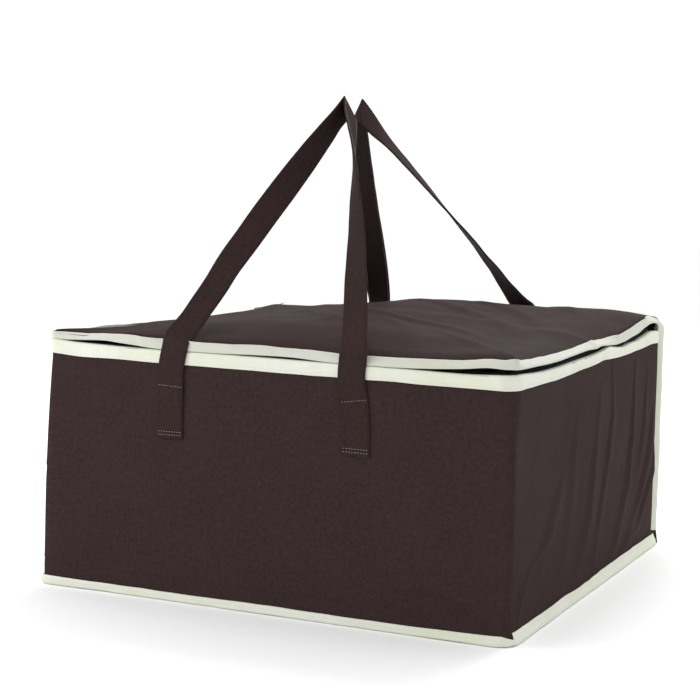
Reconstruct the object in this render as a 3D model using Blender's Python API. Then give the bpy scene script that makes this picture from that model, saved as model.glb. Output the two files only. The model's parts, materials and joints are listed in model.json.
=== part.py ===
"""An insulated pizza delivery bag: a square soft box of laminated non-woven cloth.

One strip of laminate makes the left, front and right walls, and a second piece
makes the back wall and the lid, which hinges on the fold between them. Cream
tapes bind the raw edges, a coil zipper closes the lid on three sides, and two
sewn strap handles meet above the lid. Metres, +Z up, X to the right, Y to the
back, origin on the floor under the middle of the bag.
"""

import math

import bmesh
import bpy
from mathutils import Vector

# The bag: outer faces of the walls, and the top edge of the front and side walls
bag_width = 0.460
bag_depth = 0.460
rim_height = 0.230
front_corner_radius = 0.014
back_corner_radius = 0.002

# Layers of the laminate, from outside to inside, and the clearance between pieces
fabric_thickness = 0.0006
foam_thickness = 0.0040
foil_thickness = 0.0003
layer_gap = 0.0003

# Binding tapes: each is folded over a raw edge and sewn through
tape_thickness = 0.0005
tape_fold_bevel = 0.0003
rim_tape_width = 0.0135
base_tape_width = 0.0135
lid_tape_width = 0.0088
corner_tape_width = 0.0056

# The seam round the base stands out from the wall like a short skirt
skirt_height = 0.0145
skirt_flare = 0.0040
base_tape_lift = 0.0002

# The seams down the two back corners are turned out diagonally and bound
corner_seam_allowance = 0.0048
corner_tape_root = 0.0005

# Lid: a shallow cap with a turned-down lip and a soft crown
lid_lip_gap = 0.0024
lid_back_radius = 0.0160
lid_bend_run = 0.0040
lid_bend_rise = 0.0015
lid_crown = 0.0190
crown_power = 4

# Zipper: two tapes with a coil each, held apart by the bridge of the slider
chain_inset = 0.0090
coil_width = 0.0020
coil_height = 0.0018
zip_tape_thickness = 0.0005
zip_tape_sewn_height = 0.0060
zip_tape_drop = 0.0130
zip_tape_joggle = 0.0030
zip_back_clearance = 0.0200

# Slider and pull
slider_length = 0.0090
slider_plate = 0.0008
slider_wing_rise = 0.0044
slider_bridge_length = 0.0025
slider_bridge_thickness = 0.0010
slider_flange_clearance = 0.0006
slider_home_from_back = 0.0270
lug_length = 0.0032
pull_pin_radius = 0.0007
pull_pin_height = 0.0044
pull_eye_radius = 0.0018
pull_eye_thickness = 0.0010
pull_length = 0.0240
pull_width = 0.0050
pull_thickness = 0.0010
pull_hole_radius = 0.0012
pull_hole_inset = 0.0035
pull_web_clearance = 0.0007

# Handles: a strap sewn to the wall at both ends, with a free loop above the upper stitch row
strap_width = 0.0250
strap_thickness = 0.0022
handle_middle = -0.0083
handle_spacing = 0.1855
strap_end_below_rim = 0.0800
strap_fold_below_rim = 0.0300
strap_bend_above_rim = 0.0180
strap_bend_radius = 0.0060
twist_start_above_bend = 0.0080
apex_side = -0.0290
apex_above_rim = 0.2375
apex_from_middle = 0.0050
apex_radius = 0.0045
front_twist_power = 2.0
back_twist_power = 0.5

# Steps of the curved forms, and the angle past which an edge stays sharp
sharp_edge_angle = math.radians(40)
corner_steps = 5
lid_run_steps = 6
bend_steps = 5
leg_steps = 14
round_steps = 20
overrun = 0.0020

half_width = bag_width / 2
half_depth = bag_depth / 2

# Depths inward from the wall's outer face; a negative depth is outside it
foam_outside = fabric_thickness + layer_gap
foam_inside = foam_outside + foam_thickness
foil_outside = foam_inside + layer_gap
foil_inside = foil_outside + foil_thickness
tape_face = layer_gap + tape_thickness
seam_corner = (fabric_thickness * 2 + layer_gap) / math.sqrt(2)

# Heights
base_foam_bottom = fabric_thickness + layer_gap
base_foam_top = base_foam_bottom + foam_thickness
base_foil_bottom = base_foam_top + layer_gap
base_foil_top = base_foil_bottom + foil_thickness
rim_top = rim_height + tape_face
lid_tape_bottom = rim_top + lid_lip_gap
lid_lip_bottom = lid_tape_bottom + tape_face
hinge_height = lid_lip_bottom - layer_gap / 2
lid_lip_top = lid_tape_bottom + lid_tape_width
lid_edge_height = lid_lip_top + lid_bend_rise
chain_height = (rim_top + lid_tape_bottom) / 2
lower_coil_top = chain_height - slider_bridge_thickness / 2 - layer_gap
lower_coil_bottom = lower_coil_top - coil_height
upper_coil_bottom = chain_height + slider_bridge_thickness / 2 + layer_gap
upper_coil_top = upper_coil_bottom + coil_height
strap_end_height = rim_height - strap_end_below_rim
strap_fold_height = rim_height - strap_fold_below_rim
strap_bend_height = rim_height + strap_bend_above_rim
apex_height = rim_height + apex_above_rim


def finish(name, colour, roughness, metallic=0.0):
    """A plain painted finish for one sub-part."""
    material = bpy.data.materials.new(name)
    material.use_nodes = True
    shader = material.node_tree.nodes["Principled BSDF"]
    shader.inputs["Base Color"].default_value = (*colour, 1.0)
    shader.inputs["Roughness"].default_value = roughness
    shader.inputs["Metallic"].default_value = metallic
    material.diffuse_color = (*colour, 1.0)
    return material


def body_from(name, mesh_data, material, origin=None):
    """Turn a bmesh into a named object, with its origin moved to the given point."""
    mesh_data.normal_update()
    bmesh.ops.recalc_face_normals(mesh_data, faces=mesh_data.faces)
    place = Vector(origin) if origin else Vector()
    bmesh.ops.translate(mesh_data, verts=mesh_data.verts, vec=-place)
    mesh = bpy.data.meshes.new(name)
    mesh_data.to_mesh(mesh)
    mesh_data.free()
    mesh.shade_smooth()
    mesh.set_sharp_from_angle(angle=sharp_edge_angle)
    mesh.materials.append(material)
    piece = bpy.data.objects.new(name, mesh)
    piece.location = place
    bpy.context.scene.collection.objects.link(piece)
    return piece


def corner_arc(centre, radius, first_angle, last_angle):
    """Stations round one plan corner: a point of the outer face and its outward normal."""
    stations = []
    for step in range(corner_steps + 1):
        angle = math.radians(first_angle + (last_angle - first_angle) * step / corner_steps)
        outward = Vector((math.cos(angle), math.sin(angle)))
        stations.append((centre + outward * radius, outward))
    return stations


def front_corners(run_steps=1):
    """Stations of the front: the left corner, the front face and the right corner."""
    radius = front_corner_radius
    left = corner_arc(Vector((radius - half_width, radius - half_depth)), radius, 180, 270)
    right = corner_arc(Vector((half_width - radius, radius - half_depth)), radius, 270, 360)
    return left + straight_run(left[-1], right[0], run_steps) + right


def back_corners(radius, run_steps=1):
    """Stations of the back: the right corner, the back face and the left corner."""
    right = corner_arc(Vector((half_width - radius, half_depth - radius)), radius, 0, 90)
    left = corner_arc(Vector((radius - half_width, half_depth - radius)), radius, 90, 180)
    return right + straight_run(right[-1], left[0], run_steps) + left


def straight_run(start, end, steps):
    """Stations between two stations that share a normal, without the two themselves."""
    return [(start[0].lerp(end[0], step / steps), start[1]) for step in range(1, steps)]


def three_side_route(back_end):
    """Open route down the left side, across the front and up the right side."""
    left = (Vector((-half_width, back_end)), Vector((-1, 0)))
    right = (Vector((half_width, back_end)), Vector((1, 0)))
    return [left] + front_corners() + [right]


def turned_out_seam(corner, wall_normal, side):
    """Stations of a panel edge turned out diagonally at a back corner."""
    away = Vector((side, 1)).normalized()
    turned = (wall_normal - away * wall_normal.dot(away)).normalized()
    mitre = (wall_normal + turned) / (1 + wall_normal.dot(turned))
    return [(corner, mitre), (corner + away * corner_seam_allowance, turned)]


def closed_route(radius, run_steps=1):
    """Closed route round all four sides; the radius is that of the back corners."""
    front = front_corners(run_steps)
    back = back_corners(radius, run_steps)
    right = straight_run(front[-1], back[0], run_steps)
    left = straight_run(back[-1], front[0], run_steps)
    return front + right + back + left


def sweep(name, route, section, closed, material):
    """Carry a closed section, given as depth and height, along a route of stations."""
    data = bmesh.new()
    rings = []
    for point, outward in route:
        ring = []
        for depth, height in section:
            place = point - outward * depth
            ring.append(data.verts.new((place.x, place.y, height)))
        rings.append(ring)
    count = len(section)
    pairs = list(zip(rings, rings[1:]))
    if closed:
        pairs.append((rings[-1], rings[0]))
    for near, far in pairs:
        for index in range(count):
            after = (index + 1) % count
            data.faces.new((near[index], near[after], far[after], far[index]))
    if not closed:
        data.faces.new(rings[0])
        data.faces.new(rings[-1])
    return body_from(name, data, material)


def strip_section(outer, inner, bottom, top):
    """Section of a flat layer that stands upright between two depths."""
    return [(outer, bottom), (outer, top), (inner, top), (inner, bottom)]


def folded_tape_section(outer, inner, open_height, fold_height, inner_drop=0.0):
    """U section of a tape folded over an edge: two flanks joined at the fold height.

    The inner flank may stop short of the outer one.
    """
    up = 1 if fold_height > open_height else -1
    inside_fold = fold_height - up * tape_thickness
    bevel = tape_fold_bevel
    return [
        (outer, open_height),
        (outer, fold_height - up * bevel),
        (outer + bevel, fold_height),
        (inner - bevel, fold_height),
        (inner, fold_height - up * bevel),
        (inner, open_height + up * inner_drop),
        (inner - tape_thickness, open_height + up * inner_drop),
        (inner - tape_thickness, inside_fold),
        (outer + tape_thickness, inside_fold),
        (outer + tape_thickness, open_height),
    ]


def skirt_out(height):
    """How far the base seam stands out from the wall at a height."""
    skirt_bottom = base_tape_lift + tape_face
    share = (skirt_height - height) / (skirt_height - skirt_bottom)
    return skirt_flare * max(0.0, share)


def flared(section):
    """Lean the part of a section that lies in the skirt outward."""
    return [(depth - skirt_out(height), height) for depth, height in section]


def skirted_wall_section(top):
    """Section of a wall's cloth: upright above the skirt, leaning out within it."""
    bottom = base_tape_lift + tape_face
    return flared([
        (0.0, bottom),
        (0.0, skirt_height),
        (0.0, top),
        (fabric_thickness, top),
        (fabric_thickness, skirt_height),
        (fabric_thickness, bottom),
    ])


def box(data, low, high):
    """Add a closed box between two corners to a bmesh."""
    corners = bmesh.ops.create_cube(data, size=1.0)["verts"]
    for vertex in corners:
        for axis in range(3):
            vertex.co[axis] = high[axis] if vertex.co[axis] > 0 else low[axis]
    return corners


def box_piece(name, low, high, material, origin=None):
    """A layer or block that is a plain box, with its sides in order."""
    data = bmesh.new()
    box(data, low, high)
    return body_from(name, data, material, origin)


def plate(name, route, depth, bottom, top, material):
    """A flat sheet with the outline of a closed route, at a depth inside it."""
    data = bmesh.new()
    rings = []
    for height in (bottom, top):
        ring = []
        for point, outward in route:
            place = point - outward * depth
            ring.append(data.verts.new((place.x, place.y, height)))
        rings.append(ring)
        data.faces.new(ring)
    count = len(route)
    for index in range(count):
        after = (index + 1) % count
        data.faces.new((rings[0][index], rings[0][after], rings[1][after], rings[1][index]))
    return body_from(name, data, material)


def hide_tool(tool):
    """Keep a cutter or a joined half out of the model."""
    tool.hide_render = True
    tool.display_type = "WIRE"
    tool.hide_set(True)


def combine(piece, tool, operation):
    """Join a tool to a piece or cut it away, and leave the modifier live."""
    modifier = piece.modifiers.new(tool.name, "BOOLEAN")
    modifier.operation = operation
    modifier.solver = "EXACT"
    modifier.object = tool
    tool.parent = piece.parent
    hide_tool(tool)


# Walls


def cut_back_corners(piece, bottom, top):
    """Cut a panel's seam allowances away between two heights."""
    near = -(back_corner_radius + skirt_flare / 2)
    far = skirt_flare + corner_seam_allowance + overrun
    data = bmesh.new()
    for side in (-1, 1):
        low_x, high_x = sorted((side * (half_width + near), side * (half_width + far)))
        box(data, (low_x, half_depth + near, bottom), (high_x, half_depth + far, top))
    combine(piece, body_from(f"{piece.name}_cutter", data, piece.data.materials[0]), "DIFFERENCE")


def make_wrap_panel(material):
    """Outer cloth of the left, front and right walls, in one strip."""
    corner_y = half_depth - seam_corner
    left = turned_out_seam(Vector((-half_width, corner_y)), Vector((-1, 0)), -1)
    right = turned_out_seam(Vector((half_width, corner_y)), Vector((1, 0)), 1)
    route = left[::-1] + front_corners() + right
    piece = sweep("wrap_panel", route, skirted_wall_section(rim_height), False, material)
    cut_back_corners(piece, -overrun, skirt_height)


def make_back_panel(material):
    """Outer cloth of the back wall, up to the fold that the lid turns on."""
    corner_x = half_width - seam_corner
    right = turned_out_seam(Vector((corner_x, half_depth)), Vector((0, 1)), 1)
    left = turned_out_seam(Vector((-corner_x, half_depth)), Vector((0, 1)), -1)
    top = hinge_height - layer_gap / 2
    section = skirted_wall_section(top)
    piece = sweep("back_panel", right[::-1] + left, section, False, material)
    cut_back_corners(piece, -overrun, skirt_height)
    cut_back_corners(piece, rim_height, top + overrun)


def make_base_panel(material):
    """Outer cloth of the base, flat on the floor inside the bound seam."""
    edge = foam_outside + tape_thickness + layer_gap - skirt_out(fabric_thickness)
    plate("base_panel", closed_route(back_corner_radius), edge, 0.0, fabric_thickness, material)


def make_foams(material):
    """Insulating foam: one bent sheet for three walls, and sheets for the back and base."""
    wrap_end = half_depth - foam_outside
    section = strip_section(foam_outside, foam_inside, skirt_height + layer_gap, rim_height)
    sweep("wrap_foam", three_side_route(wrap_end), section, False, material)
    reach = half_width - foam_inside - layer_gap
    box_piece(
        "back_foam",
        (-reach, half_depth - foam_inside, skirt_height + layer_gap),
        (reach, half_depth - foam_outside, rim_height),
        material,
    )
    route = closed_route(back_corner_radius)
    plate("base_foam", route, foam_outside, base_foam_bottom, base_foam_top, material)


def make_foils(material):
    """Silver lining: one strip round three walls, and sheets on the back and base."""
    bottom = base_foil_top + layer_gap
    wrap_end = half_depth - foil_inside - layer_gap
    section = strip_section(foil_outside, foil_inside, bottom, rim_height)
    sweep("wrap_foil", three_side_route(wrap_end), section, False, material)
    reach = half_width - foil_outside
    box_piece(
        "back_foil",
        (-reach, half_depth - foil_inside, bottom),
        (reach, half_depth - foil_outside, rim_height),
        material,
    )
    route = closed_route(back_corner_radius)
    plate("base_foil", route, foam_outside, base_foil_bottom, base_foil_top, material)


# Bindings


def make_rim_binding(material):
    """Tape folded over the whole laminate at the top of the three walls."""
    route = three_side_route(half_depth - foil_inside - layer_gap)
    inner = foil_inside + tape_face
    section = folded_tape_section(-tape_face, inner, rim_top - rim_tape_width, rim_top)
    sweep("rim_binding", route, section, False, material)


def make_base_binding(material):
    """Tape folded over the standing seam round the base."""
    outer = -tape_face
    inner = fabric_thickness + tape_face
    top = base_tape_lift + base_tape_width
    section = flared(folded_tape_section(outer, inner, top, base_tape_lift))
    sweep("base_binding", closed_route(back_corner_radius), section, True, material)


def make_corner_binding(name, side, material):
    """Tape folded over one back corner seam: a U in plan, extruded upward."""
    layers = fabric_thickness + layer_gap / 2
    outer = layers + tape_face
    root = corner_tape_root
    fold = root + corner_tape_width
    bevel = tape_fold_bevel
    section = [
        (root, outer),
        (fold - bevel, outer),
        (fold, outer - bevel),
        (fold, bevel - outer),
        (fold - bevel, -outer),
        (root, -outer),
        (root, tape_thickness - outer),
        (fold - tape_thickness, tape_thickness - outer),
        (fold - tape_thickness, outer - tape_thickness),
        (root, outer - tape_thickness),
    ]
    middle = Vector((side * (half_width - seam_corner / 2), half_depth - seam_corner / 2))
    away = Vector((side, 1)).normalized()
    across = Vector((side, -1)).normalized()
    outline = [middle + away * along + across * wide for along, wide in section]
    data = bmesh.new()
    rings = []
    for height in (skirt_height + layer_gap, rim_height):
        rings.append([data.verts.new((point.x, point.y, height)) for point in outline])
        data.faces.new(rings[-1])
    count = len(outline)
    for index in range(count):
        after = (index + 1) % count
        data.faces.new((rings[0][index], rings[0][after], rings[1][after], rings[1][index]))
    body_from(name, data, material)


# Lid


def crown(share):
    """Height of the lid's cloth above its edge, at a share of the way out to the edge."""
    return lid_crown * (1 - share ** crown_power)


dome_shares = (1.0, 0.88, 0.74, 0.58, 0.40, 0.20)


def dome_rings(drop):
    """Rings of the crowned surface, each a depth, a scale about the middle and a height."""
    rings = []
    for share in dome_shares:
        rings.append((lid_bend_run, share, lid_edge_height + crown(share) - drop))
    return rings


def lofted(name, top_rings, bottom_rings, material, origin):
    """Close two stacks of rings, top and bottom, into one sheet of the lid's outline."""
    data = bmesh.new()
    route = closed_route(lid_back_radius, lid_run_steps)

    def ring_of(depth, scale, height):
        ring = []
        for point, outward in route:
            place = (point - outward * depth) * scale
            ring.append(data.verts.new((place.x, place.y, height)))
        return ring

    def bridge(near, far):
        for index in range(len(near)):
            after = (index + 1) % len(near)
            data.faces.new((near[index], near[after], far[after], far[index]))

    def close(ring, height):
        middle = data.verts.new((0.0, 0.0, height))
        for index in range(len(ring)):
            data.faces.new((ring[index], ring[(index + 1) % len(ring)], middle))

    tops = [ring_of(*ring) for ring in top_rings]
    bottoms = [ring_of(*ring) for ring in bottom_rings]
    for stack in (tops, bottoms):
        for near, far in zip(stack, stack[1:]):
            bridge(near, far)
    bridge(tops[0], bottoms[0])
    top_rise = top_rings[-1][2] + lid_crown - crown(dome_shares[-1])
    bottom_rise = bottom_rings[-1][2] + lid_crown - crown(dome_shares[-1])
    close(tops[-1], top_rise)
    close(bottoms[-1], bottom_rise)
    return body_from(name, data, material, origin)


def make_lid(fabric, foam, foil, origin):
    """Lid laminate: cloth with a turned-down lip, a foam sheet and a silver lining."""
    inside = fabric_thickness
    lip = [
        (0.0, 1.0, lid_lip_bottom),
        (0.0, 1.0, lid_lip_top),
        (lid_bend_run / 4, 1.0, lid_edge_height - lid_bend_rise / 3),
    ]
    lip_inside = [
        (inside, 1.0, lid_lip_bottom),
        (inside, 1.0, lid_lip_top - inside),
        (inside + lid_bend_run / 4, 1.0, lid_edge_height - lid_bend_rise / 3 - inside),
    ]
    lofted("lid_panel", lip + dome_rings(0.0), lip_inside + dome_rings(inside), fabric, origin)
    lofted("lid_foam", dome_rings(foam_outside), dome_rings(foam_inside), foam, origin)
    lofted("lid_foil", dome_rings(foil_outside), dome_rings(foil_inside), foil, origin)


def make_lid_binding(material, origin):
    """Tape folded over the lower edge of the lid's lip, on three sides."""
    inner = fabric_thickness + tape_face
    short = foam_outside + tape_thickness
    section = folded_tape_section(-tape_face, inner, lid_lip_top, lid_tape_bottom, short)
    route = three_side_route(half_depth - lid_back_radius)
    piece = sweep("lid_binding", route, section, False, material)
    move_origin(piece, origin)


def move_origin(piece, origin):
    """Put a piece's origin on a point and leave its shape where it is."""
    place = Vector(origin)
    for vertex in piece.data.vertices:
        vertex.co -= place
    piece.location = place


# Zipper


def zip_route():
    """Open route of the zipper, which ends short of the lid's fold."""
    return three_side_route(half_depth - zip_back_clearance)


def make_lower_zip(tape_material, coil_material):
    """Tape and coil half that the rim carries; the tape steps in to clear the slider."""
    sewn = foil_inside + tape_face + layer_gap
    upright = chain_inset - zip_tape_thickness / 2
    bottom = lower_coil_bottom - layer_gap - zip_tape_drop
    step_start = bottom + zip_tape_sewn_height
    step_end = step_start + zip_tape_joggle
    top = lower_coil_bottom - layer_gap
    section = [
        (sewn, bottom),
        (sewn, step_start),
        (upright, step_end),
        (upright, top),
        (upright + zip_tape_thickness, top),
        (upright + zip_tape_thickness, step_end),
        (sewn + zip_tape_thickness, step_start),
        (sewn + zip_tape_thickness, bottom),
    ]
    sweep("zip_tape_lower", zip_route(), section, False, tape_material)
    make_coil("zip_coil_lower", lower_coil_bottom, coil_material)


def make_coil(name, bottom, material):
    """Coil half as a rounded bead of the coil's outer size."""
    section = []
    for step in range(8):
        angle = math.radians(22.5 + 45 * step)
        across = coil_width / 2 * math.cos(angle) / math.cos(math.radians(22.5))
        up = coil_height / 2 * math.sin(angle) / math.cos(math.radians(22.5))
        section.append((chain_inset + across, bottom + coil_height / 2 + up))
    return sweep(name, zip_route(), section, False, material)


def make_upper_zip(tape_material, coil_material, origin):
    """Tape and coil half that the lid carries; the tape turns down from the lid's edge."""
    lip_side = fabric_thickness + tape_face + layer_gap
    upright = chain_inset - zip_tape_thickness / 2
    top = lid_edge_height - foil_inside - layer_gap
    bottom = upper_coil_top + layer_gap
    section = [
        (lip_side, top),
        (upright + zip_tape_thickness, top),
        (upright + zip_tape_thickness, bottom),
        (upright, bottom),
        (upright, top - zip_tape_thickness),
        (lip_side, top - zip_tape_thickness),
    ]
    tape = sweep("zip_tape_upper", zip_route(), section, False, tape_material)
    coil = make_coil("zip_coil_upper", upper_coil_bottom, coil_material)
    move_origin(tape, origin)
    move_origin(coil, origin)


def upright_cylinder(data, x, y, bottom, top, radius):
    """Add a closed upright cylinder to a bmesh."""
    made = bmesh.ops.create_cone(
        data,
        cap_ends=True,
        segments=round_steps,
        radius1=radius,
        radius2=radius,
        depth=top - bottom,
    )
    bmesh.ops.translate(data, verts=made["verts"], vec=(x, y, (top + bottom) / 2))


def fused(name, shapes, material, origin):
    """Join overlapping shapes, each added by its own function, into one solid."""
    first = bmesh.new()
    shapes[0](first)
    piece = body_from(name, first, material, origin)
    for number, shape in enumerate(shapes[1:]):
        data = bmesh.new()
        shape(data)
        tool = body_from(f"{name}_join_{number}", data, material, origin)
        combine(piece, tool, "UNION")
    return piece


slider_home = half_depth - slider_home_from_back
pull_pin_depth = -(tape_face + layer_gap + pull_eye_radius)
pull_pin_x = -half_width + pull_pin_depth


def make_slider(material, origin):
    """Slider on the left side: two wings, their lower lips, the bridge, the lug and its pin."""
    coil_outside = chain_inset - coil_width / 2
    coil_inside = chain_inset + coil_width / 2
    front = slider_home - slider_length / 2
    back = slider_home + slider_length / 2
    high = chain_height + slider_wing_rise
    bridge_low = chain_height - slider_bridge_thickness / 2
    bridge_high = chain_height + slider_bridge_thickness / 2
    outer_wing = coil_outside - layer_gap - slider_plate
    inner_wing = coil_inside + layer_gap + slider_plate
    tape_room = zip_tape_thickness / 2 + layer_gap

    def span(depth_a, depth_b, y_a, y_b, z_a, z_b):
        def shape(data):
            low_depth, high_depth = sorted((depth_a, depth_b))
            box(data, (low_depth - half_width, y_a, z_a), (high_depth - half_width, y_b, z_b))
        return shape

    def pin(data):
        bottom = chain_height - pull_pin_height / 2
        top = chain_height + pull_pin_height / 2
        upright_cylinder(data, pull_pin_x, slider_home, bottom, top, pull_pin_radius)

    lip_top = lower_coil_bottom - slider_flange_clearance
    lip_bottom = lip_top - slider_plate
    half_lug = lug_length / 2
    lug_y = (slider_home - half_lug, slider_home + half_lug)
    shapes = [
        span(outer_wing, outer_wing + slider_plate, front, back, lip_bottom, high),
        span(inner_wing - slider_plate, inner_wing, front, back, lip_bottom, high),
        span(outer_wing, chain_inset - tape_room, front, back, lip_bottom, lip_top),
        span(chain_inset + tape_room, inner_wing, front, back, lip_bottom, lip_top),
        span(outer_wing, inner_wing, back - slider_bridge_length, back, bridge_low, bridge_high),
        span(pull_pin_depth, outer_wing + slider_plate / 2, *lug_y, bridge_low, bridge_high),
        pin,
    ]
    fused("zip_slider", shapes, material, origin)


def make_pull(material, origin):
    """Forked pull: two eyes on the pin, a web in front of the lug, and a drilled tongue."""
    eye_low = chain_height - slider_bridge_thickness / 2 - layer_gap - pull_eye_thickness
    eye_high = chain_height + slider_bridge_thickness / 2 + layer_gap + pull_eye_thickness
    web_start = slider_home - lug_length / 2 - pull_web_clearance
    tip = slider_home - pull_length
    half = pull_thickness / 2
    tongue_low = chain_height - pull_width / 2
    tongue_high = chain_height + pull_width / 2

    def tongue(data):
        box(data, (pull_pin_x - half, tip, tongue_low), (pull_pin_x + half, web_start, tongue_high))

    def eye(bottom, top):
        def shape(data):
            upright_cylinder(data, pull_pin_x, slider_home, bottom, top, pull_eye_radius)
        return shape

    def arm(bottom, top):
        def shape(data):
            low = (pull_pin_x - half, web_start - overrun, bottom)
            box(data, low, (pull_pin_x + half, slider_home, top))
        return shape

    shapes = [
        tongue,
        eye(eye_low, eye_low + pull_eye_thickness),
        eye(eye_high - pull_eye_thickness, eye_high),
        arm(eye_low, eye_low + pull_eye_thickness),
        arm(eye_high - pull_eye_thickness, eye_high),
    ]
    piece = fused("zip_pull", shapes, material, origin)
    bore = bmesh.new()
    bore_radius = pull_pin_radius + layer_gap
    upright_cylinder(
        bore, pull_pin_x, slider_home, eye_low - overrun, eye_high + overrun, bore_radius)
    combine(piece, body_from("zip_pull_bore", bore, material, origin), "DIFFERENCE")
    hole = bmesh.new()
    made = bmesh.ops.create_cone(
        hole,
        cap_ends=True,
        segments=round_steps,
        radius1=pull_hole_radius,
        radius2=pull_hole_radius,
        depth=pull_thickness + overrun,
    )
    for vertex in made["verts"]:
        x, y, z = vertex.co
        vertex.co = (z + pull_pin_x, y + tip + pull_hole_inset, chain_height - x)
    combine(piece, body_from("zip_pull_hole", hole, material, origin), "DIFFERENCE")


# Handles


strap_stand_off = tape_face + layer_gap
strap_middle_out = strap_stand_off + strap_thickness / 2
strap_outer_out = strap_stand_off + strap_thickness


def handle_sides():
    """Middle of the left and the right strap."""
    return (handle_middle - handle_spacing / 2, handle_middle + handle_spacing / 2)


def make_strap_end(name, x, facing, material):
    """Lower end of a strap, sewn flat to the wall below the upper stitch row."""
    near = half_depth + layer_gap
    far = near + strap_thickness
    low_y, high_y = sorted((facing * near, facing * far))
    box_piece(
        name,
        (x - strap_width / 2, low_y, strap_end_height),
        (x + strap_width / 2, high_y, strap_fold_height - layer_gap / 2),
        material,
    )


def rounded_route(points, radii, steps):
    """Line through points with its inner corners rounded; each point keeps its leg share."""
    route = [(points[0], 0)]
    for index in range(1, len(points) - 1):
        corner = points[index]
        back = (points[index - 1] - corner).normalized()
        ahead = (points[index + 1] - corner).normalized()
        half_turn = (math.pi - back.angle(ahead)) / 2
        reach = radii[index - 1] * math.tan(half_turn)
        bisector = (back + ahead).normalized()
        centre = corner + bisector * (radii[index - 1] / math.cos(half_turn))
        start = corner + back * reach - centre
        end = corner + ahead * reach - centre
        whole = start.angle(end)
        for step in range(steps + 1):
            share = step / steps
            turned = start * math.sin((1 - share) * whole) + end * math.sin(share * whole)
            route.append((centre + turned / math.sin(whole), index))
    route.append((points[-1], len(points) - 1))
    return route


def make_handle_loop(name, facing, twist, twist_power, material, origin):
    """Free loop of a handle: up past the rim, in over the lid, and folded at the apex.

    Each leg turns a quarter turn between the rim and the apex, so the strap lies
    flat on the wall and folds across its width at the top. The sign of twist says
    which face of the strap ends up on the outside of the fold, and the power says
    how late along the leg the turn comes.
    """
    left, right = handle_sides()
    out = facing * (half_depth + strap_middle_out)
    root = strap_fold_height + layer_gap / 2
    points = [
        Vector((left, out, root)),
        Vector((left, out, strap_bend_height)),
        Vector((apex_side, facing * apex_from_middle, apex_height)),
        Vector((right, out, strap_bend_height)),
        Vector((right, out, root)),
    ]
    radii = (strap_bend_radius, apex_radius, strap_bend_radius)
    rounded = rounded_route(points, radii, bend_steps)
    stations = []
    for (place, corner), (after, next_corner) in zip(rounded, rounded[1:]):
        on_leg = corner != next_corner and 0 < corner and next_corner < len(points) - 1
        stations.append(place)
        if on_leg:
            stations += [place.lerp(after, step / leg_steps) for step in range(1, leg_steps)]
    stations.append(rounded[-1][0])

    plane = (points[2] - points[1]).cross(points[3] - points[2]).normalized()
    leg_floor = strap_bend_height + twist_start_above_bend
    leg_rise = apex_height - leg_floor - apex_radius * 2
    wall_face = Vector((0, facing, 0))
    data = bmesh.new()
    rings = []
    for index, place in enumerate(stations):
        before = stations[max(index - 1, 0)]
        after = stations[min(index + 1, len(stations) - 1)]
        heading = (after - before).normalized()
        share = min(1.0, max(0.0, (place.z - leg_floor) / leg_rise))
        turn = math.pi / 2 * share ** twist_power
        flat = (wall_face - heading * wall_face.dot(heading)).normalized()
        folded = plane.cross(heading).normalized() * twist
        folded = (folded - flat * folded.dot(flat)).normalized()
        face = flat * math.cos(turn) + folded * math.sin(turn)
        across = heading.cross(face).normalized()
        ring = []
        for wide, thick in ((-1, -1), (1, -1), (1, 1), (-1, 1)):
            offset = across * (wide * strap_width / 2) + face * (thick * strap_thickness / 2)
            ring.append(data.verts.new(place + offset))
        rings.append(ring)
    for near, far in zip(rings, rings[1:]):
        for index in range(4):
            after = (index + 1) % 4
            data.faces.new((near[index], near[after], far[after], far[index]))
    data.faces.new(rings[0])
    data.faces.new(rings[-1])
    return body_from(name, data, material, origin)


def main():
    for leftover in list(bpy.data.objects):
        bpy.data.objects.remove(leftover)

    cloth = finish("brown_cloth", (0.060, 0.046, 0.043), 0.62)
    strap = finish("brown_strap", (0.050, 0.037, 0.035), 0.68)
    foam = finish("white_foam", (0.78, 0.78, 0.76), 0.90)
    foil = finish("silver_lining", (0.72, 0.73, 0.74), 0.30, 0.9)
    tape = finish("cream_tape", (0.66, 0.65, 0.56), 0.70)
    black = finish("black_zip", (0.012, 0.012, 0.012), 0.55)
    metal = finish("dark_metal", (0.045, 0.043, 0.042), 0.38, 0.8)

    make_wrap_panel(cloth)
    make_back_panel(cloth)
    make_base_panel(cloth)
    make_foams(foam)
    make_foils(foil)
    make_rim_binding(tape)
    make_base_binding(tape)
    make_corner_binding("corner_binding_left", -1, tape)
    make_corner_binding("corner_binding_right", 1, tape)

    lid_hinge = (0.0, half_depth, hinge_height)
    make_lid(cloth, foam, foil, lid_hinge)
    make_lid_binding(tape, lid_hinge)

    make_lower_zip(black, black)
    make_upper_zip(black, black, lid_hinge)
    make_slider(metal, (pull_pin_x, slider_home, chain_height))
    make_pull(metal, (pull_pin_x, slider_home, chain_height))

    left, right = handle_sides()
    handles = (("front", -1, 1, front_twist_power), ("back", 1, -1, back_twist_power))
    for side, facing, twist, twist_power in handles:
        make_strap_end(f"{side}_handle_end_left", left, facing, strap)
        make_strap_end(f"{side}_handle_end_right", right, facing, strap)
        swing = (handle_middle, facing * (half_depth + strap_outer_out), strap_fold_height)
        make_handle_loop(f"{side}_handle_loop", facing, twist, twist_power, strap, swing)


main()
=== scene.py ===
# %% [markdown]
# # An insulated pizza delivery bag
#
# The bag is a soft box of laminated cloth: brown non-woven outside, a foam sheet, and a
# silver lining inside. Cream tapes bind the raw edges, a coil zipper runs round three
# sides of the lid, and two sewn straps meet above it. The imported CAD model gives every
# place and size, and this script dresses it: each layer is cut flat, as in the workshop,
# and then laid on the form that the frame gives, with the folds of a bag in use.

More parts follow.
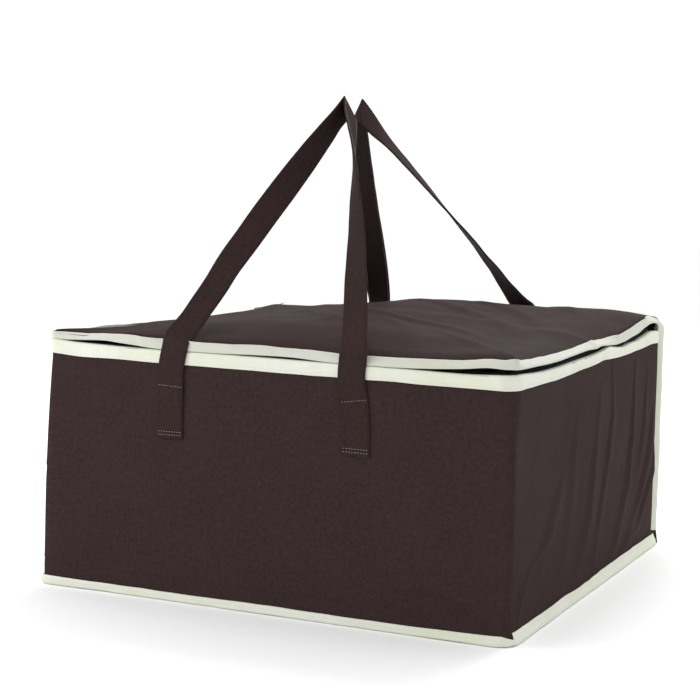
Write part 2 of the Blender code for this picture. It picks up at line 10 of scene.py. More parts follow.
# %% Load the frame
import json
import math

import bpy
import numpy as np
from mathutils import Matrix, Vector, noise


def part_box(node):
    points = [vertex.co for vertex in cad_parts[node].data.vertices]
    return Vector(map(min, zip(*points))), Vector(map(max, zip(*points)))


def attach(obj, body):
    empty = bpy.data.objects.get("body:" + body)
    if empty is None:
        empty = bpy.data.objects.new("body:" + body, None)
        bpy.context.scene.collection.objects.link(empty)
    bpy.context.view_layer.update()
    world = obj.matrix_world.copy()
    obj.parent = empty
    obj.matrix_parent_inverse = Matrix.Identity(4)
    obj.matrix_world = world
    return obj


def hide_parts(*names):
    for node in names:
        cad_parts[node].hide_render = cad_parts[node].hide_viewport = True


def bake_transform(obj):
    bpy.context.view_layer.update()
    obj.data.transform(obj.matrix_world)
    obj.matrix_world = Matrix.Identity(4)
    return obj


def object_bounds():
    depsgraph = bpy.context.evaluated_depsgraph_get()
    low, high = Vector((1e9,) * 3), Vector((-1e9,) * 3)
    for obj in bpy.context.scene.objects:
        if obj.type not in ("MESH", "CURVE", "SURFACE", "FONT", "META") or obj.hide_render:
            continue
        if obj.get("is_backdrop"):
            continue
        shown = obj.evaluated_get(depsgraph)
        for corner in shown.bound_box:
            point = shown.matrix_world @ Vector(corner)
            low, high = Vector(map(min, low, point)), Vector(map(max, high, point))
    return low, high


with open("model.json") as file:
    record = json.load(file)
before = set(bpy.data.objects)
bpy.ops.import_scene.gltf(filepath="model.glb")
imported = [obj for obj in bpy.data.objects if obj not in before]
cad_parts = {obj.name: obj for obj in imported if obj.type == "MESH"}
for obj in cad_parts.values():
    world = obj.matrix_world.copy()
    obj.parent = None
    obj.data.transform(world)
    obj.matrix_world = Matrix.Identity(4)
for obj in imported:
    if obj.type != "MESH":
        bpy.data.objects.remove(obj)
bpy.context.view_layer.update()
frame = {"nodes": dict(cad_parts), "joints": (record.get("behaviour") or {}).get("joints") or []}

# %% [markdown]
# ## Sizes
#
# The gauges of the layers are the real ones. The rest is read from the CAD nodes, so a
# layer always lands where the model has it. Distances round the bag are measured along
# the outer face of its walls from the middle of the front, positive to the right.

# %% Sizes from the frame
mm = 0.001
cloth_gauge = 0.6 * mm
foam_gauge = 4.0 * mm
foil_gauge = 0.3 * mm
tape_gauge = 0.5 * mm
air = 0.3 * mm

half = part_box("wrap_foam")[1].x + cloth_gauge + air
band_radius = 14 * mm
lid_back_radius = 8 * mm
wall_radius = 5 * mm
left_radius = 2.5 * mm
back_dip = 2.6 * mm
rim_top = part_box("rim_binding")[1].z
rim_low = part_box("rim_binding")[0].z
base_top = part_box("base_binding")[1].z
base_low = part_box("base_binding")[0].z
foil_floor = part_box("base_foil")[1].z
lid_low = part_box("lid_binding")[0].z
lid_band_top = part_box("lid_binding")[1].z
foam_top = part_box("wrap_foam")[1].z
skirt_height = 14.5 * mm
skirt_flare = 4.0 * mm
cloth_foot = 1.2 * mm
foam_depth = cloth_gauge + air
foil_depth = foam_depth + foam_gauge + air
lining_depth = foil_depth + foil_gauge

strap_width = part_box("front_handle_end_left")[1].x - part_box("front_handle_end_left")[0].x
strap_gauge = 2.2 * mm
strap_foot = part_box("front_handle_end_left")[0].z
strap_left = (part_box("front_handle_end_left")[0].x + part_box("front_handle_end_left")[1].x) / 2
strap_right = (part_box("front_handle_end_right")[0].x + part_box("front_handle_end_right")[1].x) / 2
strap_row = next(j for j in frame["joints"] if j["name"] == "front_handle_swing")["pos_m"][2]
front_run = half - band_radius
corner_run = band_radius * math.pi / 2
side_start = front_run + corner_run
wall_end = side_start + 2 * half - band_radius
half_way = wall_end + half
notch = front_run + corner_run / 2
side_offset = side_start + front_run
print("half of the plan", round(half, 4), "flat wall strip", round(2 * wall_end, 4))

# %% [markdown]
# ## How the bag sits
#
# A soft bag is never quite straight. The rim dips along both sides, the lid stands off
# it near the front right corner and rises towards the back, and it droops on the left.
# Each line below is a list of (distance round the bag, lift) in millimetres, set beside
# the photograph, and a smooth curve runs through its points.

# %% Lines of the rim and the lid
rim_top_lift = (
    (-907, 0), (-684, 0), (-660, -0.8), (-630, -2.6), (-590, -4.2), (-520, -4.6), (-420, -4.4),
    (-340, -3.2), (-290, -1.4), (-255, 0.8), (-228, 3.4), (-208, 1.6), (-173, 0.4),
    (-121, -0.3), (-55, -0.2), (41, -0.9),
    (131, -1.4), (189, -2.1), (225, -0.9), (245, -1.1), (263, -2.3), (300, -4.0), (340, -4.5),
    (402, -3.8), (447, -3.2), (478, -1.8), (494, -0.2), (518, -2.3), (543, -4.4), (569, -3.2),
    (595, -2.8), (622, -0.3), (650, 2.2), (684, 0.4), (720, 0), (907, 0),
)
rim_low_lift = (
    (-907, 0), (-684, 0), (-660, -0.8), (-630, -2.6), (-590, -4.2), (-520, -4.6), (-420, -4.4),
    (-340, -2.8), (-290, -0.8), (-250, 2.2), (-228, 3.4), (-208, 1.8), (-173, 1.6),
    (-121, 1.2), (-55, 0.6), (41, 0.4),
    (131, 0.2), (189, -0.5), (245, -0.2), (281, -0.9), (320, -1.4), (360, -1.0), (402, 0),
    (447, 1.0), (470, 2.2), (494, 1.6), (518, 0.6), (595, 1.1), (622, 1.9), (650, 2.7),
    (684, 1.0), (720, 0), (907, 0),
)
lid_low_lift = (
    (-907, 0), (-684, 0), (-660, -0.8), (-630, -2.6), (-590, -4.2), (-520, -4.6), (-420, -4.4),
    (-340, -3.4), (-290, -2.0), (-255, -0.6), (-228, 0.8), (-210, 0.9), (-190, 1.9),
    (-173, 2.4), (-156, 1.1), (-139, -0.1),
    (-121, -1.7), (-88, -2.2), (-55, -2.2), (-22, -1.4), (25, -1.0), (56, -2.8), (95, -3.1),
    (131, -2.9), (161, -1.5), (189, 0.6), (203, 2.2), (221, 1.7), (245, 0.9), (281, -0.1),
    (300, -0.7), (340, -1.1), (381, 0), (424, 0.6), (447, -0.2), (470, 0.6), (494, -1.0),
    (518, -2.1), (543, -1.6), (569, 0.4), (595, 2.6), (622, 6.9), (650, 8.8), (668, 7.0),
    (684, 2.0), (700, 0), (907, 0),
)
lid_top_lift = (
    (-907, 0), (-830, -2.5), (-760, -6.0), (-710, -7.6), (-684, -7.4), (-656, -5.6),
    (-630, -6.9), (-600, -8.2),
    (-550, -8.2), (-454, -7.5), (-404, -6.2), (-354, -4.6), (-304, -3.2), (-278, -3.5), (-255, -3.3),
    (-240, -2.4), (-228, -1.1), (-213, -2.2), (-182, -2.2), (-165, -1.2), (-152, -0.3), (-139, -0.4),
    (-121, -1.2), (-71, -1.9), (-22, -1.8), (25, -3.0),
    (56, -4.0), (102, -4.9), (131, -4.2), (161, -3.7), (189, -2.4), (203, -0.6), (221, 0.0),
    (232, 1.2), (245, -1.6), (263, -3.1), (300, -4.2), (360, -5.7), (402, -5.3), (424, -4.1),
    (447, -2.5), (470, -4.2), (494, -3.6), (518, -2.3), (543, -0.3), (569, 1.8), (595, 5.2),
    (622, 7.1), (650, 6.4), (668, 4.4), (684, 2.0), (720, 0), (907, 0),
)


def smooth(share):
    """Ease a share from 0 to 1."""
    share = np.clip(share, 0.0, 1.0)
    return share * share * (3 - 2 * share)


def line(points, at):
    """Value in metres of a smooth curve through (distance, value) points in millimetres."""
    places, values = np.array(points, float).T * mm
    at = np.clip(at, places[0], places[-1])
    slopes = np.gradient(values, places)
    index = np.clip(np.searchsorted(places, at) - 1, 0, len(places) - 2)
    width = places[index + 1] - places[index]
    share = (at - places[index]) / width
    rise = values[index + 1] - values[index]
    ease = share * share * (3 - 2 * share)
    start = share * (1 - share) ** 2 * slopes[index] * width
    end = share * share * (share - 1) * slopes[index + 1] * width
    return values[index] + rise * ease + start + end


def ripple(a, b, wave, seed):
    """Smooth unevenness of cloth, from -1 to 1, at a wavelength; it is the same in every run."""
    pairs = zip(np.ravel(a) / wave, np.ravel(b) / wave)
    values = [noise.noise(Vector((x, y, seed))) for x, y in pairs]
    return np.reshape(np.array(values), np.shape(a)) * 1.6


def fold(a, b, points, width, height):
    """A soft ridge along a line given in millimetres, with a shallow hollow beside it."""
    best = np.full(np.shape(a), 1e9)
    value = np.zeros(np.shape(a))
    spans = list(zip(points, points[1:]))
    for number, (start, end) in enumerate(spans):
        start = np.array(start) * mm
        run = np.array(end) * mm - start
        length = np.hypot(*run)
        along = ((a - start[0]) * run[0] + (b - start[1]) * run[1]) / length**2
        held = np.clip(along, 0, 1)
        off_a = a - start[0] - held * run[0]
        off_b = b - start[1] - held * run[1]
        gap = np.hypot(off_a, off_b)
        side = np.sign(off_a * run[1] - off_b * run[0]) * gap
        share = (number + held) / len(spans)
        taper = np.sin(np.pi * np.clip(0.08 + 0.84 * share, 0, 1)) ** 0.8
        wide = width * mm * (0.6 + 0.8 * share)
        ridge = np.exp(-((gap / wide) ** 2)) - 0.55 * np.exp(-(((side - 1.7 * wide) / wide) ** 2))
        nearer = gap < best
        value = np.where(nearer, ridge * taper * height * mm, value)
        best = np.minimum(best, gap)
    return value


# %% [markdown]
# ## The walls' own form
#
# The walls are one strip bent round two corners. Below the rim band the right front
# corner is creased sharper than the band is, and the left one is sharp all the way up.
# Folds fan out over the right wall from its back seam, and a crease runs into the near
# bottom corner, where the base seam pinches.

# %% Folds of the walls
right_folds = (
    (((506, 212), (514, 162), (494, 103), (468, 28)), 5.5, 1.5),
    (((590, 204), (586, 134), (574, 81), (524, 16)), 6, 1.9),
    (((664, 150), (655, 110), (623, 63), (564, 14)), 6, 2.0),
    (((680, 110), (677, 84), (620, 35), (561, 15)), 5, 1.8),
    (((368, 121), (340, 90), (309, 50)), 9, 1.1),
    (((280, 56), (336, 78)), 5, 1.2),
    (((284, 60), (262, 42), (247, 26)), 5, 1.4),
    (((467, 182), (448, 69), (409, 16)), 9, 1.3),
    (((400, 175), (396, 110), (372, 30)), 10, 0.9),
    (((250, 48), (240, 14)), 3, -1.4),
    (((636, 190), (630, 130), (610, 90)), 5, 1.2),
)
front_folds = (
    (((118, 38), (160, 43), (195, 32), (232, 9)), 6, 2.0),
    (((-205, 194), (-188, 182)), 2.5, 0.5),
    (((-228, 118), (-208, 95), (-200, 80)), 3, 0.7),
    (((-226, 28), (-205, 17), (-186, 8)), 3, 0.8),
    (((-113, 214), (-140, 185), (-168, 150)), 14, -1.0),
    (((-84, 214), (-70, 190), (-62, 160)), 9, 0.7),
    (((70, 214), (52, 188), (40, 160)), 10, 0.8),
    (((100, 214), (118, 190), (140, 176)), 9, 0.8),
    (((-30, 210), (-14, 170), (-10, 120)), 14, 0.6),
)


def wall_point(u, radius):
    """Plan point and outward direction at a distance round the walls, for a corner radius."""
    side = np.sign(u)
    distance = np.abs(u)
    arc = radius * math.pi / 2
    straight = band_radius - radius
    walk = np.clip((distance - front_run) / corner_run, 0, 1) * (2 * straight + arc)
    angle = np.clip((walk - straight) / radius, 0, math.pi / 2)
    past = np.clip(walk - straight - arc, 0, None)
    x = np.minimum(distance, front_run) + np.minimum(walk, straight) + radius * np.sin(angle)
    run = np.clip(distance - side_start, 0, 2 * half - band_radius)
    y = -half + radius * (1 - np.cos(angle)) + past + run
    turned = np.clip(distance - wall_end, 0, None) / math.sqrt(2)
    beyond = smooth((distance - wall_end) / (1.5 * mm)) * math.pi / 4
    dip = back_dip * smooth((distance - wall_end + 9 * mm) / (9 * mm))
    return (
        (x + turned - dip) * side,
        y + turned - dip,
        np.sin(angle + 0 * u) * np.cos(beyond) * side,
        -np.cos(angle) - np.sin(beyond),
    )


def corner_radius_at(u, z):
    """The right front corner is creased between the bands, the left one from top to bottom."""
    high = smooth((z - 0.170) / 0.040)
    low = 1 - smooth(z / base_top)
    right = wall_radius + (band_radius - wall_radius) * np.maximum(high, low)
    return np.where(u > 0, right, left_radius)


def mitred(u, facing_x, facing_y, reach):
    """Reach over the sharp left corner, where what lies beside the wall keeps a sharp corner too."""
    stretch = 1 / np.maximum(np.abs(facing_x), np.abs(facing_y))
    sharp = (u < 0) & (np.abs(u) < side_start + 1 * mm) & (reach > -12 * mm)
    return np.where(sharp, reach * stretch, reach)


def tape_radius_at(u, depth):
    """A tape bends sharply round the left corner on its outside and gently on its inside."""
    left = left_radius + (band_radius - left_radius) * smooth((depth - 1 * mm) / (4 * mm))
    return np.where(u > 0, band_radius, left)


def wall_out(u, z):
    """How far the walls' cloth stands out from its flat place."""
    held = smooth((z - 4 * mm) / (30 * mm)) * smooth((rim_low + 2 * mm - z) / (26 * mm))
    ends = smooth((wall_end - np.abs(u)) / (22 * mm))
    corner = 1 - 0.85 * np.exp(-(((np.abs(u) - front_run - corner_run / 2) / (14 * mm)) ** 2))
    soft = 1.7 * mm * ripple(u, z, 0.160, 1.5) + 0.55 * mm * ripple(u, z, 0.055, 4.2)
    soft += 0.16 * mm * ripple(u, z, 0.018, 7.7)
    total = soft * held * ends * corner
    low = smooth((z - 8 * mm) / (10 * mm)) * smooth((rim_low + 4 * mm - z) / (14 * mm))
    for points, width, height in right_folds + front_folds:
        total += fold(u, z, points, width, height) * low * smooth((wall_end - np.abs(u)) / (5 * mm))
    return total


def skirt_out(z):
    """The base seam stands out from the wall like a short skirt."""
    return skirt_flare * np.clip((skirt_height - z) / (skirt_height - 1 * mm), 0, 1)


def foot_out(u, z):
    """The skirt, the pinch at the right corner, and the left corner's lean towards its foot."""
    lower = 1 - np.clip(z / (rim_low - 4 * mm), 0, 1) ** 2.2
    lean = 6.0 * mm * lower * np.exp(-(((u + notch) / 0.090) ** 2))
    near = np.exp(-(((u - front_run - corner_run / 2) / (5 * mm)) ** 2))
    pinch = 2.2 * mm * near * smooth((z - 6 * mm) / (6 * mm)) * smooth((34 * mm - z) / (18 * mm))
    return np.maximum(skirt_out(z), lean) - pinch


def wall_surface(u, z, out, creased=True):
    """Point on the walls at a distance round them, a height, and a distance out from the cloth."""
    radius = corner_radius_at(u, z) if creased else band_radius + 0 * u
    x, y, facing_x, facing_y = wall_point(u, radius)
    reach = wall_out(u, z) + foot_out(u, z) + out
    reach = mitred(u, facing_x, facing_y, reach) if creased else reach
    above = smooth((z - rim_low) / (rim_top - rim_low))
    low_lift = line(rim_low_lift, u) * smooth((z - 0.080) / (rim_low - 0.080))
    lift = low_lift * (1 - above) + line(rim_top_lift, u) * above
    return np.stack((x + facing_x * reach, y + facing_y * reach, z + lift), 1)


# %% [markdown]
# ## Tools for flat cloth
#
# Every layer starts as a flat grid, the piece that a cutter would cut. A function then
# says where each point of it lies on the bag. The map coordinates keep the flat sizes
# in metres, so a weave follows the cloth, and a solidify modifier gives it its gauge.
# A cloth simulation could settle the sheets too. Here every sheet is sewn down along
# its edges, so its folds are laid where the photograph has them.

# %% Cut, lay and finish a sheet
def deselect():
    """Leave edit mode and let go of everything."""
    if bpy.context.object and bpy.context.object.mode != "OBJECT":
        bpy.ops.object.mode_set(mode="OBJECT")
    bpy.ops.object.select_all(action="DESELECT")


def cut(name, columns, rows):
    """A flat grid, with the share across and the share up of each of its points."""
    deselect()
    bpy.ops.mesh.primitive_grid_add(x_subdivisions=columns, y_subdivisions=rows, size=2)
    piece = bpy.context.object
    piece.name = name
    piece.data.name = name
    flat = np.empty(len(piece.data.vertices) * 3)
    piece.data.vertices.foreach_get("co", flat)
    flat = flat.reshape(-1, 3)
    return piece, (flat[:, 0] + 1) / 2, (flat[:, 1] + 1) / 2


def lay(piece, places, along, across):
    """Put each point of a flat piece in its place, and keep its flat place as its map."""
    mesh = piece.data
    mesh.vertices.foreach_set("co", np.ravel(places))
    corners = np.empty(len(mesh.loops), int)
    mesh.loops.foreach_get("vertex_index", corners)
    mesh.uv_layers[0].data.foreach_set("uv", np.ravel(np.stack((along, across), 1)[corners]))
    mesh.update()


def apply(piece, kind, **settings):
    """Add a modifier with its settings and apply it."""
    modifier = piece.modifiers.new(kind.title(), kind)
    for name, value in settings.items():
        setattr(modifier, name, value)
    bpy.context.view_layer.objects.active = piece
    bpy.ops.object.modifier_apply(modifier=modifier.name)


def outward(piece):
    """Turn all faces of a closed piece outward."""
    deselect()
    piece.select_set(True)
    bpy.context.view_layer.objects.active = piece
    bpy.ops.object.mode_set(mode="EDIT")
    bpy.ops.mesh.select_all(action="SELECT")
    bpy.ops.mesh.normals_make_consistent(inside=False)
    bpy.ops.object.mode_set(mode="OBJECT")


def thicken(piece, gauge):
    """Give a sheet its gauge, half to each side."""
    apply(piece, "SOLIDIFY", thickness=gauge, offset=0.0, use_even_offset=True)
    outward(piece)


def dress(piece, material, nodes=(), body=None):
    """Finish, slot, stand-ins and body of a piece."""
    piece.data.materials.clear()
    piece.data.materials.append(material)
    deselect()
    piece.select_set(True)
    bpy.context.view_layer.objects.active = piece
    bpy.ops.object.shade_smooth()
    if nodes:
        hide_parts(*nodes)
    if body:
        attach(piece, body)
    print(piece.name, "-", len(piece.data.polygons), "faces")
    return piece


# %% [markdown]
# ## Finishes
#
# All finishes are node trees on the flat map or on object coordinates. The brown cloth
# is a non-woven with an embossed diagonal cross pattern that catches the light. The
# tapes are a paler non-woven with streaks along their length.

# %% Nodes by name
def new_finish(name, colour, roughness, metallic=0.0, specular=0.5, sheen=0.0):
    """A principled material, its node maker and its shader."""
    material = bpy.data.materials.new(name)
    material.use_nodes = True
    tree = material.node_tree
    shader = tree.nodes["Principled BSDF"]
    shader.inputs["Base Color"].default_value = (*colour, 1)
    shader.inputs["Roughness"].default_value = roughness
    shader.inputs["Metallic"].default_value = metallic
    shader.inputs["Specular IOR Level"].default_value = specular
    shader.inputs["Sheen Weight"].default_value = sheen
    material.diffuse_color = (*colour, 1)
    return material, tree, shader


def coordinates(tree, source, scale, turn=0.0):
    """A scaled and turned set of coordinates."""
    place = tree.nodes.new("ShaderNodeTexCoord")
    mapping = tree.nodes.new("ShaderNodeMapping")
    mapping.inputs["Scale"].default_value = scale
    mapping.inputs["Rotation"].default_value = (0, 0, turn)
    tree.links.new(place.outputs[source], mapping.inputs["Vector"])
    return mapping.outputs["Vector"]


def cloudy(tree, vector, scale, detail=3.0, rough=0.5):
    """Noise, from 0 to 1."""
    node = tree.nodes.new("ShaderNodeTexNoise")
    node.inputs["Scale"].default_value = scale
    node.inputs["Detail"].default_value = detail
    node.inputs["Roughness"].default_value = rough
    tree.links.new(vector, node.inputs["Vector"])
    return node.outputs["Fac"]


def waves(tree, vector, scale, direction="X", distortion=0.0):
    """Bands across one direction, from 0 to 1."""
    node = tree.nodes.new("ShaderNodeTexWave")
    node.bands_direction = direction
    node.inputs["Scale"].default_value = scale
    node.inputs["Distortion"].default_value = distortion
    tree.links.new(vector, node.inputs["Vector"])
    return node.outputs["Fac"]


def arithmetic(tree, operation, first, second):
    """One step of arithmetic on two sockets or numbers."""
    node = tree.nodes.new("ShaderNodeMath")
    node.operation = operation
    for socket, value in zip(node.inputs, (first, second)):
        if isinstance(value, (int, float)):
            socket.default_value = value
        else:
            tree.links.new(value, socket)
    return node.outputs["Value"]


def ramp(tree, value, stops):
    """Colours or greys at places along a value."""
    node = tree.nodes.new("ShaderNodeValToRGB")
    elements = node.color_ramp.elements
    while len(elements) < len(stops):
        elements.new(0.5)
    for element, (place, colour) in zip(elements, stops):
        element.position = place
        grey = isinstance(colour, (int, float))
        element.color = (colour, colour, colour, 1) if grey else (*colour, 1)
    tree.links.new(value, node.inputs["Fac"])
    return node.outputs["Color"]


def blended(tree, share, first, second, kind="MIX"):
    """Mix two colours by a share."""
    node = tree.nodes.new("ShaderNodeMix")
    node.data_type = "RGBA"
    node.blend_type = kind
    for name, value in (("Factor", share), ("A", first), ("B", second)):
        sockets = [s for s in node.inputs if s.name == name and s.enabled]
        if isinstance(value, (int, float)):
            sockets[0].default_value = value
        elif isinstance(value, tuple):
            sockets[0].default_value = (*value, 1)
        else:
            tree.links.new(value, sockets[0])
    return [s for s in node.outputs if s.enabled][0]


def raised(tree, shader, height, strength, distance):
    """Bump from a height."""
    node = tree.nodes.new("ShaderNodeBump")
    node.inputs["Strength"].default_value = strength
    node.inputs["Distance"].default_value = distance
    tree.links.new(height, node.inputs["Height"])
    tree.links.new(node.outputs["Normal"], shader.inputs["Normal"])


# %% Brown cloth and strap
emboss_pitch = 1.7 * mm
wave_step = math.pi / 10


def lattice_of(tree, pitch):
    """Embossed dots on a diagonal lattice, a little stronger along one diagonal, from 0 to 1."""
    rising = waves(tree, coordinates(tree, "UV", (1, 1, 1), math.pi / 4), wave_step / pitch)
    falling = waves(tree, coordinates(tree, "UV", (1, 1, 1), -math.pi / 4), wave_step / pitch)
    strong = arithmetic(tree, "MULTIPLY", rising, 0.62)
    both = arithmetic(tree, "ADD", strong, arithmetic(tree, "MULTIPLY", falling, 0.38))
    return ramp(tree, both, ((0.30, 0.0), (0.85, 1.0)))


def brown_finish(name, dark, light, pitch, depth):
    """Non-woven cloth with a fine embossed cross pattern, worn a little in patches."""
    material, tree, shader = new_finish(name, dark, 0.55, specular=0.009)
    cross = lattice_of(tree, pitch)
    flat = coordinates(tree, "UV", (1, 1, 1))
    patches = cloudy(tree, flat, 16, 5, 0.6)
    fibres = cloudy(tree, flat, 260, 6, 0.75)
    relief = arithmetic(tree, "ADD", cross, arithmetic(tree, "MULTIPLY", fibres, 0.7))
    worn = ramp(tree, patches, ((0.38, 0.0), (0.72, 1.0)))
    tufts = ramp(tree, fibres, ((0.36, 0.0), (0.66, 1.0)))
    shade = blended(tree, arithmetic(tree, "MULTIPLY", cross, 0.55), dark, light)
    shade = blended(tree, arithmetic(tree, "MULTIPLY", tufts, 0.45), shade, light)
    shade = blended(tree, arithmetic(tree, "MULTIPLY", worn, 0.14), shade, light)
    tree.links.new(shade, shader.inputs["Base Color"])
    rough = ramp(tree, patches, ((0.2, 0.48), (0.8, 0.62)))
    tree.links.new(rough, shader.inputs["Roughness"])
    raised(tree, shader, relief, depth, 0.25 * mm)
    return material


strap_emboss_pitch = 1.5 * mm
brown_cloth = brown_finish(
    "brown_cloth", (0.0190, 0.0105, 0.0105), (0.056, 0.036, 0.036), emboss_pitch, 0.6)
brown_strap = brown_finish(
    "brown_strap", (0.0180, 0.0100, 0.0098), (0.053, 0.034, 0.033), strap_emboss_pitch, 0.6)


# %% Tape, lining, foam, zip, thread, metal
def tape_finish(name, pale, warm):
    """Cream tape with streaks along its length and patches of a warmer tone."""
    material, tree, shader = new_finish(name, pale, 0.72, specular=0.25, sheen=0.10)
    streaks = cloudy(tree, coordinates(tree, "UV", (60, 900, 1)), 1.0, 3)
    patches = cloudy(tree, coordinates(tree, "UV", (1, 1, 1)), 9, 3)
    weave = waves(tree, coordinates(tree, "UV", (1, 1, 1)), 180, "X", 2.0)
    tone = ramp(tree, patches, ((0.35, pale), (0.68, warm)))
    dull = tuple(c * 0.72 for c in pale)
    shade = blended(tree, arithmetic(tree, "MULTIPLY", streaks, 0.42), tone, dull)
    tree.links.new(shade, shader.inputs["Base Color"])
    relief = arithmetic(tree, "ADD", streaks, arithmetic(tree, "MULTIPLY", weave, 0.35))
    raised(tree, shader, relief, 0.4, 0.25 * mm)
    return material


cream_tape = tape_finish("cream_tape", (0.69, 0.70, 0.635), (0.62, 0.65, 0.49))
# A darker copy of the cream tape, used on the lid's tape: its darker tone is painted shade, as that
# band lies more in shade than the others.
painted_shade_tape = tape_finish("painted_shade_tape", (0.56, 0.565, 0.52), (0.52, 0.545, 0.42))


def lining_finish():
    """Silver film, crumpled in small facets."""
    material, tree, shader = new_finish("silver_lining", (0.75, 0.76, 0.77), 0.26, 0.95)
    flat = coordinates(tree, "UV", (1, 1, 1))
    facets = tree.nodes.new("ShaderNodeTexVoronoi")
    facets.inputs["Scale"].default_value = 70
    tree.links.new(flat, facets.inputs["Vector"])
    soft = cloudy(tree, flat, 45, 5, 0.6)
    relief = arithmetic(tree, "ADD", facets.outputs["Distance"], soft)
    tree.links.new(ramp(tree, soft, ((0.3, 0.18), (0.7, 0.40))), shader.inputs["Roughness"])
    raised(tree, shader, relief, 0.8, 1.5 * mm)
    return material


def foam_finish():
    """Closed-cell foam: white, with fine cells."""
    material, tree, shader = new_finish("white_foam", (0.78, 0.78, 0.76), 0.9, specular=0.2)
    cells = tree.nodes.new("ShaderNodeTexVoronoi")
    cells.inputs["Scale"].default_value = 900
    place = coordinates(tree, "Object", (1, 1, 1))
    tree.links.new(place, cells.inputs["Vector"])
    stops = ((0.0, (0.70, 0.70, 0.68)), (0.5, (0.80, 0.80, 0.78)))
    shade = ramp(tree, cells.outputs["Distance"], stops)
    tree.links.new(shade, shader.inputs["Base Color"])
    raised(tree, shader, cells.outputs["Distance"], 0.4, 0.3 * mm)
    return material


def zip_finish(name, colour, rough, scale):
    """Black woven tape or moulded coil."""
    material, tree, shader = new_finish(name, colour, rough, specular=0.4)
    twill = waves(tree, coordinates(tree, "UV", (1, 1, 1), 0.6), scale, "X")
    dust = cloudy(tree, coordinates(tree, "Object", (1, 1, 1)), 160, 3)
    bright = tuple(c * 2.2 for c in colour)
    shade = blended(tree, arithmetic(tree, "MULTIPLY", dust, twill), colour, bright)
    tree.links.new(shade, shader.inputs["Base Color"])
    raised(tree, shader, twill, 0.5, 0.2 * mm)
    return material


def thread_finish(name, colour):
    """Twisted sewing thread."""
    material, tree, shader = new_finish(name, colour, 0.6, specular=0.3)
    twist = waves(tree, coordinates(tree, "Object", (1, 1, 1), 0.7), 900, "DIAGONAL")
    shade = blended(tree, twist, tuple(c * 0.7 for c in colour), colour)
    tree.links.new(shade, shader.inputs["Base Color"])
    return material


def metal_finish():
    """Dark enamel on a zinc slider, rubbed paler in spots."""
    material, tree, shader = new_finish("dark_metal", (0.045, 0.043, 0.042), 0.35, 0.85)
    rubbed = cloudy(tree, coordinates(tree, "Object", (1, 1, 1)), 420, 4, 0.7)
    shade = ramp(tree, rubbed, ((0.45, (0.035, 0.033, 0.032)), (0.75, (0.22, 0.21, 0.20))))
    tree.links.new(shade, shader.inputs["Base Color"])
    tree.links.new(ramp(tree, rubbed, ((0.3, 0.28), (0.8, 0.5))), shader.inputs["Roughness"])
    raised(tree, shader, rubbed, 0.2, 0.1 * mm)
    return material


silver_lining = lining_finish()
white_foam = foam_finish()
zip_cloth = zip_finish("zip_cloth", (0.009, 0.012, 0.007), 0.7, 260)
zip_coil = zip_finish("zip_coil", (0.010, 0.012, 0.009), 0.35, 500)
dark_thread = thread_finish("dark_thread", (0.004, 0.002, 0.002))
pale_thread = thread_finish("pale_thread", (0.30, 0.26, 0.24))
cream_thread = thread_finish("cream_thread", (0.60, 0.63, 0.46))
dark_metal = metal_finish()
print("finishes", len(bpy.data.materials))

# %% [markdown]
# ## Wall layers
#
# The same strip is laid three times: cloth, foam and lining, each at its own depth. The
# ends of the cloth turn out diagonally at the back corners, where the tape holds them.

# %% Walls: cloth, foam and lining
seam_allowance = 7.6 * mm


def wall_layer(name, columns, rows, reach, low, high, depth, gauge, creased=False):
    """One layer of the strip that makes the left, front and right walls."""
    piece, across, up = cut(name, columns, rows)
    u = (across * 2 - 1) * reach
    z = low + (high - low) * up
    lay(piece, wall_surface(u, z, -(depth + gauge / 2), creased), u, z)
    thicken(piece, gauge)
    return piece


wall_cloth = wall_layer(
    "wall_cloth", 500, 76, wall_end + seam_allowance, cloth_foot, foam_top, 0, cloth_gauge, True)
dress(wall_cloth, brown_cloth, ["wrap_panel"], "bag_body")

wall_foam = wall_layer(
    "wall_foam", 240, 36, wall_end - foam_depth, skirt_height + air, foam_top,
    foam_depth, foam_gauge)
dress(wall_foam, white_foam, ["wrap_foam"], "bag_body")

lining_reach = wall_end - lining_depth - air
wall_lining = wall_layer(
    "wall_lining", 300, 50, lining_reach, foil_floor + air, foam_top, foil_depth, foil_gauge)
dress(wall_lining, silver_lining, ["wrap_foil"], "bag_body")

# %% [markdown]
# ## Tapes
#
# A binding tape is a flat strip folded over a raw edge. The fold is a walk: up the outer
# face, over the edge round two small curves, and down the inner face. Rows of thread
# draw it in, so it puffs a little between them and its edges waver.

# %% Fold of a tape
def folded(walk, flank, over, roll):
    """Depth and rise along a strip folded over an edge: outer flank, top and inner flank.

    The walk starts at the open edge of the outer flank. Depth is 0 there and over at the
    inner flank; rise is 0 at the open edge and flank at the top of the fold.
    """
    arc = roll * math.pi / 2
    start = flank - roll
    bend = np.clip((walk - start) / roll, 0, math.pi / 2)
    flat = np.clip(walk - start - arc, 0, over - 2 * roll)
    second = np.clip((walk - start - arc - (over - 2 * roll)) / roll, 0, math.pi / 2)
    down = np.clip(walk - start - 2 * arc - (over - 2 * roll), 0, None)
    depth = roll * (1 - np.cos(bend)) + flat + roll * np.sin(second)
    rise = np.minimum(walk, start) + roll * np.sin(bend) - roll * (1 - np.cos(second)) - down
    return depth, rise


def folded_length(flank, over, roll, inner):
    """Length of the walk for an inner flank of a given height."""
    return (flank - roll) + roll * math.pi + (over - 2 * roll) + (inner - roll)


def drawn_in(walk, u, row, pitch):
    """Groove that a row of stitches pulls into a tape."""
    pull = 0.75 + 0.25 * np.cos(2 * np.pi * u / pitch)
    return 0.30 * mm * pull * np.exp(-(((walk - row) / (0.8 * mm)) ** 2))


